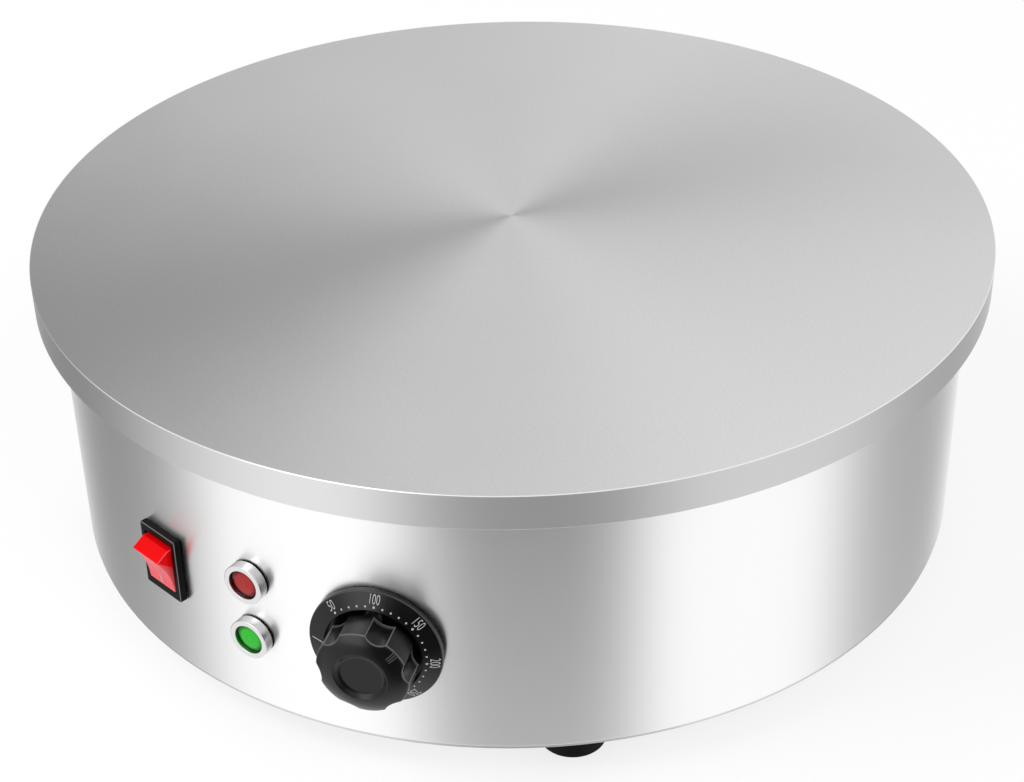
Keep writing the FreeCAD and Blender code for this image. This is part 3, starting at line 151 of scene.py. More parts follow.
@dataclass
class Skin:
    """Faces and their points, before they become a mesh.

    Args:
        points: one row of x, y, z for each point, in metres
        corners: the point at each corner of each face, face after face
        sizes: how many corners each face has
        lay: at each corner, the distance round the piece and along its profile, in metres
        mark: at each point, a number from 0 to 1 that a finish may read
    """

    points: Array
    corners: Array
    sizes: Array
    lay: Array
    mark: Array

    @classmethod
    def grid(cls, points: Array, around: bool = True, along: bool = False, mark: Array | None = None) -> "Skin":
        """Faces between the neighbours of a grid of points.

        A row whose points all coincide is a pole, where each face has three corners.

        Args:
            points: rows by columns by 3, in metres
            around: whether the last column joins the first
            along: whether the last row joins the first
            mark: rows by columns of numbers from 0 to 1

        Returns:
            The faces.
        """
        rows, columns = points.shape[:2]
        pole = np.ptp(points, axis=1).max(axis=1) < 1e-9
        number = np.arange(rows * columns).reshape(rows, columns)
        number[pole] = number[pole, :1]
        spans = np.arange(rows if along else rows - 1), np.arange(columns if around else columns - 1)
        i, j = (index.ravel()[:, None] for index in np.meshgrid(*spans, indexing="ij"))
        row, column = i + np.array([[0, 0, 1, 1]]), j + np.array([[0, 1, 1, 0]])
        corner = number[row % rows, column % columns]
        kept = np.ones(corner.shape, bool)
        kept[:, 1] = ~pole[row[:, 0] % rows]
        kept[:, 3] = ~pole[row[:, 3] % rows]
        step = np.linalg.norm(np.diff(points, axis=0, append=points[:1]), axis=2).mean(axis=1)
        down = np.concatenate([[0.0], np.cumsum(step)])
        girth = np.linalg.norm(np.diff(points, axis=1, append=points[:, :1]), axis=2).sum(axis=1).max()
        lay = np.stack([column * girth / columns, down[row]], axis=2)
        used, corners = np.unique(corner[kept], return_inverse=True)
        value = np.zeros((rows, columns)) if mark is None else np.broadcast_to(mark, (rows, columns))
        return cls(points.reshape(-1, 3)[used], corners.ravel(), kept.sum(axis=1), lay[kept], value.ravel()[used])

    @classmethod
    def turned(
        cls, place: Place, profile: Array, ring: bool = False, steps: int = 128, mark: Array | None = None
    ) -> "Skin":
        """A profile turned about a frame's z.

        A point at distance r from z and height h goes to (r cos t, r sin t, h) for every t of a full turn. The turn
        starts at the frame's y, which keeps its seam away from the front.

        Args:
            place: the frame
            profile: rows of distance and height in millimetres
            ring: whether the profile's last point joins its first
            steps: how many columns there are
            mark: a number from 0 to 1 for each row

        Returns:
            The faces.
        """
        turn = np.pi / 2 + np.linspace(0, 2 * np.pi, steps, endpoint=False)
        return cls.lathe(place, turn, profile[:, :1], profile[:, 1:], ring, None if mark is None else mark[:, None])

    @classmethod
    def lathe(
        cls, place: Place, turn: Array, reach: Array, height: Array, ring: bool = False, mark: Array | None = None
    ) -> "Skin":
        """A surface about a frame's z whose distance and height may change with the turn.

        Args:
            place: the frame
            turn: each column's angle in radians
            reach: each point's distance from z, rows by columns or rows by 1
            height: each point's height along z, rows by columns or rows by 1
            ring: whether the last row joins the first
            mark: a number from 0 to 1 for each point, or None

        Returns:
            The faces.
        """
        shape = (len(reach), len(turn))
        reach, height = np.broadcast_to(reach, shape), np.broadcast_to(height, shape)
        points = np.stack([reach * np.cos(turn), reach * np.sin(turn), height], axis=2)
        return cls.grid(place.carry(points), True, ring, mark)

    def bent(self, change: Callable[[Array], Array]) -> "Skin":
        """The same faces, with their points changed by a function."""
        return Skin(change(self.points), self.corners, self.sizes, self.lay, self.mark)

    @classmethod
    def join(cls, *skins: "Skin") -> "Skin":
        """Several skins as one."""
        starts = np.cumsum([0, *(len(s.points) for s in skins[:-1])])
        return cls(
            np.concatenate([s.points for s in skins]),
            np.concatenate([s.corners + start for s, start in zip(skins, starts)]),
            np.concatenate([s.sizes for s in skins]),
            np.concatenate([s.lay for s in skins]),
            np.concatenate([s.mark for s in skins]),
        )

    def piece(self, name: str, crease: float = 32.0) -> Piece:
        """Puts the faces into a mesh, pointing outwards.

        Args:
            name: the object's name
            crease: the angle in degrees past which an edge is shaded sharp

        Returns:
            The object.
        """
        mesh = bpy.data.meshes.new(name)
        mesh.vertices.add(len(self.points))
        mesh.loops.add(len(self.corners))
        mesh.polygons.add(len(self.sizes))
        mesh.vertices.foreach_set("co", self.points.astype(np.float32).ravel())
        mesh.polygons.foreach_set("loop_start", np.cumsum(self.sizes) - self.sizes)
        mesh.polygons.foreach_set("vertices", self.corners.astype(np.int32))
        mesh.uv_layers.new(name="lay").uv.foreach_set("vector", self.lay.astype(np.float32).ravel())
        mesh.attributes.new("mark", "FLOAT", "POINT").data.foreach_set("value", self.mark.astype(np.float32))
        mesh.update(calc_edges=True)
        mesh.validate()
        shell = bmesh.new()
        shell.from_mesh(mesh)
        bmesh.ops.recalc_face_normals(shell, faces=shell.faces)
        shell.to_mesh(mesh)
        shell.free()
        mesh.shade_smooth()
        mesh.set_sharp_from_angle(angle=np.radians(crease))
        piece = bpy.data.objects.new(name, mesh)
        bpy.context.scene.collection.objects.link(piece)
        return piece


def unit(vectors: Array) -> Array:
    """Vectors of the same directions and of length 1."""
    return vectors / np.maximum(np.linalg.norm(vectors, axis=-1, keepdims=True), 1e-12)


def rounded(
    corners: list[tuple[float, float, float]], closed: bool = False, steps: int = 4, lead: float = 0.12
) -> Array:
    """An outline with its corners rounded.

    At each corner a circle of that corner's radius touches both sides, and the outline follows it from one touching
    point to the other by turning the circle's arm evenly. A short lead beside each arc keeps the flats flat in
    shading.

    Args:
        corners: each corner's two coordinates and its radius, in millimetres
        closed: whether the last corner joins the first; otherwise the two ends stay as they are
        steps: how many steps each arc has
        lead: the length of a lead

    Returns:
        The outline's points.
    """
    given = np.array(corners, float)
    spot, radius = given[:, :2], given[:, 2:]
    to_last, to_next = np.roll(spot, 1, 0) - spot, np.roll(spot, -1, 0) - spot
    back, on = unit(to_last), unit(to_next)
    half = np.arccos(np.clip((back * on).sum(1, keepdims=True), -1, 1)) / 2
    reach = radius / np.tan(half)
    centre = spot + unit(back + on) * radius / np.sin(half)
    first, last = spot + back * reach - centre, spot + on * reach - centre
    sweep = np.maximum(np.pi - 2 * half, 1e-6)[:, :, None]
    share = np.linspace(0, 1, steps + 1)[None, :, None]
    arm = (np.sin((1 - share) * sweep) * first[:, None] + np.sin(share * sweep) * last[:, None]) / np.sin(sweep)
    room_back = np.minimum(lead, 0.2 * np.linalg.norm(to_last, axis=1, keepdims=True))
    room_on = np.minimum(lead, 0.2 * np.linalg.norm(to_next, axis=1, keepdims=True))
    before, after = spot + back * (reach + room_back), spot + on * (reach + room_on)
    path = np.concatenate([before[:, None], centre[:, None] + arm, after[:, None]], axis=1)
    if not closed:
        path[0], path[-1] = spot[0], spot[-1]
    path = path.reshape(-1, 2)
    apart = np.linalg.norm(np.diff(path, axis=0, prepend=path[-1:] if closed else path[:1] - 1), axis=1) > 1e-4
    return path[apart]


def box_ring(half_width: float, half_height: float, radius: float, steps: int = 6) -> Array:
    """A rectangle with round corners, as points from its right side round by its top.

    Args:
        half_width: half its size along x, in millimetres
        half_height: half its size along y
        radius: its corners' radius
        steps: how many steps each corner has

    Returns:
        The points.
    """
    arc = np.linspace(0, np.pi / 2, steps + 1)
    quarter = np.repeat(np.arange(4), steps + 1)
    turn = np.tile(arc, 4) + quarter * np.pi / 2
    across = np.where(np.isin(quarter, (0, 3)), 1, -1) * (half_width - radius)
    upright = np.where(quarter < 2, 1, -1) * (half_height - radius)
    return np.stack([across, upright], axis=1) + radius * np.stack([np.cos(turn), np.sin(turn)], axis=1)


def blend_low(one: Array, other: Array, soft: float) -> Array:
    """The lower of two heights, with the corner where they cross rounded over a width of soft."""
    share = np.clip(0.5 + 0.5 * (other - one) / soft, 0, 1)
    return other + (one - other) * share - soft * share * (1 - share)


def smooth(values: Array, low: float, high: float) -> Array:
    """0 below low, 1 above high, and an S curve of the third degree between."""
    share = np.clip((values - low) / (high - low), 0, 1)
    return share * share * (3 - 2 * share)


# Finishes


def linear(colour: str) -> tuple[float, float, float, float]:
    """A colour's linear values, from its sRGB hex code."""
    value = np.array([int(colour[i : i + 2], 16) for i in (1, 3, 5)]) / 255
    value = np.where(value <= 0.04045, value / 12.92, ((value + 0.055) / 1.055) ** 2.4)
    return (*(float(v) for v in value), 1.0)


def per_metre(millimetres: float) -> float:
    """A pattern's scale, from the real size of its features."""
    return 1 / (millimetres * MM)


def add(tree: Tree, kind: str, feeds: dict | None = None, **settings) -> Node:
    """Adds a node to a tree.

    Args:
        tree: the tree
        kind: Blender's name for the kind of node, less the ShaderNode in front
        feeds: for each input, by name or number, the output that feeds it or its value
        settings: the node's own settings

    Returns:
        The node.
    """
    node = tree.nodes.new(f"ShaderNode{kind}")
    for name, value in settings.items():
        setattr(node, name, value)
    for name, value in (feeds or {}).items():
        if isinstance(value, Socket):
            tree.links.new(value, node.inputs[name])
        else:
            node.inputs[name].default_value = value
    return node


def place_on(tree: Tree) -> Socket:
    """Where a point is on its object."""
    return add(tree, "TexCoord").outputs["Object"]


def mark_of(tree: Tree) -> Socket:
    """The piece's mark at a point."""
    return add(tree, "Attribute", attribute_name="mark").outputs["Fac"]


def sums(tree: Tree, operation: str, *values: Socket | float) -> Socket:
    """The result of a sum on up to three values."""
    return add(tree, "Math", dict(enumerate(values)), operation=operation).outputs[0]


def mix(tree: Tree, share: Socket, one: Socket | float, other: Socket | float) -> Socket:
    """A number that goes from one to the other as the share goes from 0 to 1."""
    return add(tree, "Mix", {0: share, 2: one, 3: other}).outputs[0]


def mix_colour(tree: Tree, share: Socket, one: Socket | tuple, other: Socket | tuple) -> Socket:
    """A colour that goes from one to the other as the share goes from 0 to 1."""
    return add(tree, "Mix", {0: share, 6: one, 7: other}, data_type="RGBA").outputs[2]


def stretch(tree: Tree, value: Socket, given: tuple[float, float], wanted: tuple[float, float]) -> Socket:
    """A value carried evenly from one span to another, and held at the ends.

    Args:
        tree: the tree
        value: the output that holds the value
        given: the span's ends as they are
        wanted: the ends as they shall be

    Returns:
        The output that holds the new value.
    """
    feeds = dict(enumerate((value, *given, *wanted)))
    return add(tree, "MapRange", feeds).outputs[0]


def noise(tree: Tree, where: Socket, size: float, detail: float, **feeds: float) -> Socket:
    """A noise of features of a real size.

    Args:
        tree: the tree
        where: the output that holds the place
        size: the size of its features, in millimetres
        detail: how many finer layers it has
        feeds: the values of its other inputs, by name

    Returns:
        The output that holds the noise, from 0 to 1.
    """
    every = {"Vector": where, "Scale": per_metre(size), "Detail": detail, **feeds}
    return add(tree, "TexNoise", every).outputs[0]


def brush(tree: Tree, shader: Node, smear: float) -> None:
    """Smears reflections across the marks of a brush or a lathe, which run round the piece.

    Args:
        tree: the material's nodes
        shader: its shader
        smear: the shader's anisotropy
    """
    tangent = add(tree, "Tangent", direction_type="UV_MAP", uv_map="lay")
    tree.links.new(tangent.outputs[0], shader.inputs["Tangent"])
    shader.inputs["Anisotropic"].default_value = smear
    shader.inputs["Anisotropic Rotation"].default_value = 0.25


@dataclass(frozen=True)
class Finish:
    """What every finish has.

    Args:
        name: the real material's name
        colour: its sRGB hex code
        roughness: the shader's roughness
        metallic: 1 for a metal
    """

    name: str
    colour: str
    roughness: float
    metallic: float = 0.0

    def make(self) -> bpy.types.Material:
        """The material, made the first time that it is asked for."""
        if self.name in bpy.data.materials:
            return bpy.data.materials[self.name]
        material = bpy.data.materials.new(self.name)
        material.use_nodes = True
        tree = material.node_tree
        shader = tree.nodes["Principled BSDF"]
        shader.inputs["Base Color"].default_value = linear(self.colour)
        shader.inputs["Roughness"].default_value = self.roughness
        shader.inputs["Metallic"].default_value = self.metallic
        self.work(tree, shader)
        return material

    def work(self, tree: Tree, shader: Node) -> None:
        """Adds the finish's own nodes; the plain finish has none."""

    def vary(self, tree: Tree, shader: Node, spots: Socket, other: str) -> Socket:
        """Lets a pattern carry the colour towards another one.

        Args:
            tree: the material's nodes
            shader: its shader
            spots: the pattern, from 0 to 1
            other: the other colour's sRGB hex code

        Returns:
            The output that holds the colour.
        """
        colour = mix_colour(tree, spots, linear(self.colour), linear(other))
        tree.links.new(colour, shader.inputs["Base Color"])
        return colour

    def roughen(self, tree: Tree, shader: Node, spots: Socket, spread: float) -> None:
        """Lets a pattern move the roughness up and down by spread."""
        low, high = self.roughness - spread, self.roughness + spread
        value = stretch(tree, spots, (NOISE_LOW, NOISE_HIGH), (low, high))
        tree.links.new(value, shader.inputs["Roughness"])

    def raise_up(self, tree: Tree, shader: Node, height: Socket, depth: float) -> None:
        """Lets a pattern raise the surface by depth, in millimetres."""
        bump = add(tree, "Bump", {"Height": height, "Distance": depth * MM, "Strength": 1.0})
        tree.links.new(bump.outputs[0], shader.inputs["Normal"])


@dataclass(frozen=True)
class BrushedSteel(Finish):
    """Stainless steel sheet, brushed one way: long soft streaks that smear reflections across the brushing.

    Args:
        smear: the shader's anisotropy
        spacing: the distance between brush marks, in millimetres; real ones are about 0.1 and wouldn't show
        length: how long a mark runs before it fades
        spread: how far the marks move the roughness up and down
        relief: how far they raise the surface, in millimetres
    """

    smear: float = 0.75
    spacing: float = 0.45
    length: float = 60.0
    spread: float = 0.005
    relief: float = 0.00002

    def work(self, tree: Tree, shader: Node) -> None:
        """Streaks that run level round the drum, in the roughness and as a very fine relief."""
        where = place_on(tree)
        scale = (per_metre(self.length), per_metre(self.length), per_metre(self.spacing))
        run = add(tree, "Mapping", {"Vector": where, "Scale": scale}).outputs[0]
        feeds = {"Vector": run, "Scale": 1.0, "Detail": 4.0, "Roughness": 0.6}
        streaks = add(tree, "TexNoise", feeds).outputs[0]
        self.roughen(tree, shader, streaks, self.spread)
        self.raise_up(tree, shader, streaks, self.relief)
        brush(tree, shader, self.smear)


@dataclass(frozen=True)
class MachinedIron(Finish):
    """Cast iron, turned flat and blasted: a satin grey with a fine sparkle and faint rings from the lathe.

    Args:
        grain: the size of the iron's grain, in millimetres, drawn twice as coarse as it is so that it shows
        grain_colour: the colour of its darker grains
        pitch: the distance between lathe rings, drawn coarser than the real 0.3 mm
        patch: the size of a patch of wear
        spread: how far the patches move the roughness up and down
        relief: how far the grain raises the surface, in millimetres
        smear: the shader's anisotropy, across the rings
        rim_roughness: the roughness where the piece's mark is 0.5, on its turned side
        rim_colour: the colour there, darker than the face as painted shade
        arris_roughness: the roughness where the mark is 1, on its bevels
        arris_colour: the colour there, paler as a painted highlight
    """

    grain: float = 0.9
    grain_colour: str = "#C9C9C9"
    pitch: float = 1.3
    patch: float = 45.0
    spread: float = 0.01
    relief: float = 0.0015
    smear: float = 0.8
    rim_roughness: float = 0.44
    rim_colour: str = "#C8C8C8"
    arris_roughness: float = 0.28
    arris_colour: str = "#DCDCDC"

    def work(self, tree: Tree, shader: Node) -> None:
        """Grain in colour and relief, rings about the plate's axis, slow patches of wear, a side painted darker as
        shade and bevels painted paler as highlights.
        """
        where = place_on(tree)
        grain = noise(tree, where, self.grain, 3.0)
        patches = noise(tree, where, self.patch, 4.0)
        level = add(tree, "Mapping", {"Vector": where, "Scale": (1.0, 1.0, 0.0)}).outputs[0]
        radius = add(tree, "VectorMath", {0: level}, operation="LENGTH").outputs["Value"]
        feeds = {"W": radius, "Scale": per_metre(self.pitch), "Detail": 2.0}
        rings = add(tree, "TexNoise", feeds, noise_dimensions="1D").outputs[0]
        self.raise_up(tree, shader, sums(tree, "MULTIPLY_ADD", rings, 0.5, grain), self.relief)
        mark = mark_of(tree)
        rim = stretch(tree, mark, (0.0, 0.5), (0.0, 1.0))
        arris = stretch(tree, mark, (0.5, 1.0), (0.0, 1.0))
        worn = (self.roughness - self.spread, self.roughness + self.spread)
        rough = stretch(tree, patches, (NOISE_LOW, NOISE_HIGH), worn)
        spots = stretch(tree, grain, (0.35, 0.7), (0.0, 1.0))
        colour = self.vary(tree, shader, spots, self.grain_colour)
        kinds = (rim, self.rim_roughness, self.rim_colour), (arris, self.arris_roughness, self.arris_colour)
        for share, roughness, other in kinds:
            rough = mix(tree, share, rough, roughness)
            colour = mix_colour(tree, share, colour, linear(other))
        tree.links.new(rough, shader.inputs["Roughness"])
        tree.links.new(colour, shader.inputs["Base Color"])
        brush(tree, shader, self.smear)


@dataclass(frozen=True)
class PlatedSteel(Finish):
    """Zinc plated or bare rolled metal: cool and satin, with a slow cloudiness.

    Args:
        cloud: the other colour of the clouds
        patch: the size of a cloud, in millimetres
        relief: how far the clouds raise the surface, in millimetres
    """

    cloud: str = "#A9AEB2"
    patch: float = 6.0
    relief: float = 0.004

    def work(self, tree: Tree, shader: Node) -> None:
        """Clouds in colour and roughness."""
        where = place_on(tree)
        clouds = noise(tree, where, self.patch, 5.0)
        self.vary(tree, shader, clouds, self.cloud)
        self.roughen(tree, shader, clouds, self.roughness * 0.18)
        self.raise_up(tree, shader, clouds, self.relief)


@dataclass(frozen=True)
class Moulded(Finish):
    """Moulded plastic or rubber: one colour with a fine spark-eroded grain and barely uneven gloss.

    Args:
        grain: the size of the mould's grain, in millimetres
        depth: how deep it is
        tint: the colour that handling and dust carry it towards
        gloss: the shader's specular level
        worn: the paler colour painted on its edges as a highlight, where the piece's mark is 1
        patch: the size of a patch of handling, in millimetres
    """

    grain: float = 0.35
    depth: float = 0.006
    tint: str = "#343434"
    gloss: float = 0.5
    worn: str = "#5E5E5E"
    patch: float = 9.0

    def work(self, tree: Tree, shader: Node) -> None:
        """Grain in the relief, slow patches in colour and gloss, and a paler highlight painted on its edges."""
        where = place_on(tree)
        patches = noise(tree, where, self.patch, 3.0)
        self.raise_up(tree, shader, noise(tree, where, self.grain, 2.0), self.depth)
        self.roughen(tree, shader, patches, 0.05)
        body = self.vary(tree, shader, sums(tree, "MULTIPLY", patches, 0.35), self.tint)
        # Painted highlight: where the piece's mark is 1 the colour goes to the paler edge colour.
        tree.links.new(mix_colour(tree, mark_of(tree), body, linear(self.worn)), shader.inputs["Base Color"])
        shader.inputs["Specular IOR Level"].default_value = self.gloss


@dataclass(frozen=True)
class ClearPlastic(Finish):
    """Tinted polycarbonate: deep and glossy, with light or shade painted in another colour where the piece's mark
    says so.

    Args:
        other: the colour at a mark of 1
        coat: the weight of the clear gloss on top
        glow: how much of the light spreads inside it
        gloss: the shader's specular level
        depth: how far the light spreads, in millimetres
        ripple: the size of the moulding's ripples, in millimetres
        relief: how deep they are
    """

    other: str = "#FFFFFF"
    # other: the colour at a mark of 1, paler for a painted highlight and darker for painted shade
    coat: float = 0.6
    glow: float = 0.15
    gloss: float = 0.5
    depth: float = 1.5
    ripple: float = 2.5
    relief: float = 0.02

    def work(self, tree: Tree, shader: Node) -> None:
        """The body colour and the painted light's colour by the piece's mark, a slight ripple, and light that spreads
        inside.
        """
        where = place_on(tree)
        ripple = noise(tree, where, self.ripple, 2.0)
        self.vary(tree, shader, mark_of(tree), self.other)
        self.raise_up(tree, shader, ripple, self.relief)
        self.roughen(tree, shader, ripple, 0.03)
        shader.inputs["Specular IOR Level"].default_value = self.gloss
        shader.inputs["Coat Weight"].default_value = self.coat
        shader.inputs["Coat Roughness"].default_value = 0.08
        shader.inputs["Subsurface Weight"].default_value = self.glow
        shader.inputs["Subsurface Radius"].default_value = (1.0, 1.0, 1.0)
        shader.inputs["Subsurface Scale"].default_value = self.depth * MM


@dataclass(frozen=True)
class Fibre(Finish):
    """Mineral wool or fired clay: matt and pale, with a coarse uneven surface.

    Args:
        size: the size of a tuft or a pore, in millimetres
        depth: how deep the surface is
        other: the colour in the hollows
    """

    size: float = 3.0
    depth: float = 0.4
    other: str = "#B9AF96"

    def work(self, tree: Tree, shader: Node) -> None:
        """Tufts or pores in colour and relief."""
        where = place_on(tree)
        tufts = noise(tree, where, self.size, 6.0, Distortion=0.6)
        self.vary(tree, shader, tufts, self.other)
        self.raise_up(tree, shader, tufts, self.depth)


# A bright sheet whose brush marks draw each reflection into a soft upright band.
DRUM_STEEL = BrushedSteel("stainless_steel_brushed", "#EAEAEA", 0.28, 1.0)
# A plain grey face with a fine grain; its side is duller and painted darker as shade, and a pale line is painted
# along each bevel as a highlight.
PLATE_IRON = MachinedIron("cast_iron_machined", "#CFCFCF", 0.36, 1.0)
# A dull silver sheet with broad faint clouds.
PAN_STEEL = PlatedSteel("stainless_steel_mill_finish", "#D2D2D0", 0.36, 1.0, "#C0C1C0", 18.0)
# A cool grey with small bluish clouds.
ZINC = PlatedSteel("steel_zinc_plated", "#C9CDD0", 0.34, 1.0)
# A mirror that is a little soft, so that the bezels show crisp light and dark rings.
CHROME = PlatedSteel("brass_chrome_plated", "#D6D6D6", 0.17, 1.0, "#D0D0D0", 3.0, 0.0001)
# A warm yellow metal, darker where it was handled.
BRASS = PlatedSteel("brass_drawn", "#C8A860", 0.3, 1.0, "#B79552", 5.0)
# A red-brown metal with darker patches of tarnish.
COPPER = PlatedSteel("copper_drawn", "#C77F5A", 0.32, 1.0, "#A5674A", 5.0)
# A dark tube, grey-brown from its own heat.
SHEATH = PlatedSteel("nickel_alloy_annealed", "#6E6A63", 0.48, 1.0, "#4F4A47", 8.0)
# A deep black with a soft sheen, and grey lines painted on its edges as highlights.
BLACK_ABS = Moulded("abs_black_satin", "#0A0A0A", 0.22, 0.0, 0.35, 0.002, "#121212", 0.25, "#5C5C5C")
# A flat black that sets the red rocker off, with one pale line painted along the frame's edge as a highlight.
BLACK_NYLON = Moulded("nylon_black_matt", "#040404", 0.4, 0.0, 0.35, 0.002, "#070707", 0.1, "#6A6A6A")
# A dark grey that stands apart from the black pieces beside it.
DARK_ABS = Moulded("polyamide_dark_grey", "#2E2E30", 0.5)
# A dead black that hardly shines, with a coarse skin.
RUBBER = Moulded("rubber_black", "#050505", 0.62, 0.0, 0.8, 0.02, "#0A0A0A", 0.06)
# A strong red with a soft gloss, with pink painted on its hollow front and along its edges as a highlight.
ROCKER_RED = ClearPlastic("polycarbonate_red", "#E6040A", 0.3, 0.0, "#E86C74", 0.0, 0.1, 0.08)
# A dull red glass, painted nearly black toward its edge as shade from the bezel, with a small sharp highlight.
LENS_RED = ClearPlastic("lens_red", "#A4221E", 0.16, 0.0, "#300404", 0.15, 0.1, 0.12)
# A fresh green glass, painted darker toward its edge as shade from the bezel, with a small sharp highlight.
LENS_GREEN = ClearPlastic("lens_green", "#28B82A", 0.16, 0.0, "#046010", 0.15, 0.1, 0.12)
# A matt off-white that reads clearly on black.
PRINT = Moulded("ink_white", "#B6B6B4", 0.55, 0.0, 0.4, 0.002, "#A6A6A4")
# A loose straw-coloured wool, with tufts that cast small shadows.
WOOL = Fibre("mineral_wool", "#D9D2BE", 0.95)
# A chalky cream ceramic with a faint grain.
CLAY = Fibre("ceramic_steatite", "#E4DED0", 0.55, 0.0, 0.8, 0.02, "#D6CFBE")
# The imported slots' finishes. The four wire covers are even, soft-shining colours, each with a faint second tint.
CAD_FINISHES = {
    "element_sheath": SHEATH,
    "ceramic": CLAY,
    "zinc_steel": ZINC,
    "insulation": WOOL,
    "copper": COPPER,
    "stainless": PAN_STEEL,
    "black_plastic": BLACK_ABS,
    "dark_plastic": DARK_ABS,
    "brass": BRASS,
    "black_rubber": RUBBER,
    "green_insulation": Moulded("pvc_green", "#2C8A3C", 0.45, 0.0, 0.6, 0.004, "#B7B52E"),
    "brown_insulation": Moulded("pvc_brown", "#6B3F22", 0.45, 0.0, 0.6, 0.004, "#7A4C2C"),
    "blue_insulation": Moulded("pvc_blue", "#2458A6", 0.45, 0.0, 0.6, 0.004, "#3468B4"),
    "white_insulation": Moulded("silicone_white", "#DAD8D0", 0.5, 0.0, 0.6, 0.004, "#CFCCC2"),
}


def settle(piece: Piece, finish: Finish, body: Body, slot: str, *nodes: str) -> None:
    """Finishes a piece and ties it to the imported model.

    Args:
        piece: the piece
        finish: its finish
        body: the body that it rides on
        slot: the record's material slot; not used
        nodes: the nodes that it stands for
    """
    piece.data.materials.append(finish.make())
    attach(piece, body.value)
    if nodes:
        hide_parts(*nodes)
    LOG.info("%s: %d faces of %s, on %s", piece.name, len(piece.data.polygons), finish.name, body.value)


# The object


@dataclass(frozen=True)
class Griddle:
    """The round cast plate, with its rim, the lip that locates it on the drum, and its bosses."""

    radius: float = 200.0
    top: float = 140.3
    rim: float = 14.5
    web: float = 9.0
    edge: float = 0.3
    lip_inside: float = 186.0
    lip_outside: float = 189.2
    lip_depth: float = 4.0
    boss_circle: float = 122.5
    boss_radius: float = 10.0
    boss_foot: float = 123.1

    def build(self) -> None:
        """A turned disc with close rows across its flats, and a short turned stub for each tie rod's boss."""
        under, web = self.top - self.rim, self.top - self.web
        across = np.linspace(0, self.radius - 2, 24)[:-1, None]
        face = np.concatenate([across, np.full_like(across, self.top)], axis=1)
        edge = rounded(
            [
                (self.radius - 2, self.top, 0.0),
                (self.radius - self.edge, self.top, 0.08),
                (self.radius, self.top - self.edge, 0.08),
                (self.radius, under + self.edge, 0.08),
                (self.radius - self.edge, under, 0.08),
                (self.lip_outside, under, 0.3),
                (self.lip_outside, under - self.lip_depth, 0.5),
                (self.lip_inside, under - self.lip_depth, 0.5),
                (self.lip_inside, web, 1.5),
                (0.0, web, 0.0),
            ]
        )
        profile = np.concatenate([face, edge])
        inward = self.radius - profile[:, 0]
        bevel = (inward + np.minimum(self.top - profile[:, 1], np.abs(profile[:, 1] - under))) < self.edge + 0.03
        # The mark: 1 on the bevels, which the finish paints paler as a highlight, and 0.5 on the turned side, which
        # it paints darker as shade.
        disc = Skin.turned(Place.standing(), profile, steps=512, mark=np.where(bevel, 1.0, 0.5 * (inward < 0.1)))
        boss = rounded(
            [
                (0.0, web + 1, 0.0),
                (self.boss_radius, web + 1, 0.0),
                (self.boss_radius, self.boss_foot, 0.8),
                (0.0, self.boss_foot, 0.0),
            ]
        )
        places = [Place.standing(self.boss_circle, degrees) for degrees in (0, 120, 240)]
        bosses = [Skin.turned(place, boss, steps=48) for place in places]
        settle(Skin.join(disc, *bosses).piece("griddle_disc"), PLATE_IRON, Body.BASE, "griddle_iron", "griddle_plate")


@dataclass(frozen=True)
class Drum:
    """The rolled sheet drum under the plate."""

    sheet: float = 1.0
    bottom: float = 16.2
    top: float = 125.8

    def build(self) -> None:
        """A tube with rounded sheet edges."""
        inside = DRUM_RADIUS - self.sheet
        profile = rounded(
            [
                (DRUM_RADIUS, self.bottom, 0.3),
                (DRUM_RADIUS, self.top, 0.3),
                (inside, self.top, 0.3),
                (inside, self.bottom, 0.3),
            ],
            closed=True,
        )
        tube = Skin.turned(Place.standing(), profile, ring=True, steps=512)
        settle(tube.piece("drum_sheet"), DRUM_STEEL, Body.BASE, "stainless", "drum_shell")


@dataclass(frozen=True)
class Foot:
    """A moulded rubber foot, wider at the top, with a recess for its screw.

    Args:
        number: which foot it is, from 1 to 4
    """

    number: int
    circle: float = 168.3
    recess: float = 6.5
    sole: float = 13.2
    radius: float = 15.0
    top: float = 14.95
    hole: float = 2.8
    ledge: float = 8.0

    def build(self) -> None:
        """A turned cup with rounded edges."""
        profile = rounded(
            [
                (self.recess, 0.0, 0.4),
                (self.sole, 0.0, 0.9),
                (self.radius, 13.5, 0.8),
                (self.radius, self.top, 0.2),
                (self.hole, self.top, 0.2),
                (self.hole, self.ledge, 0.2),
                (self.recess, self.ledge, 0.3),
            ],
            closed=True,
        )
        node = f"rubber_foot_{self.number}"
        low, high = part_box(node)
        middle = (low + high) / 2
        place = Place.standing(self.circle, np.degrees(np.arctan2(middle.y, middle.x)))
        cup = Skin.turned(place, profile, ring=True, steps=96)
        settle(cup.piece(f"foot_cup_{self.number}"), RUBBER, Body.BASE, "black_rubber", node)


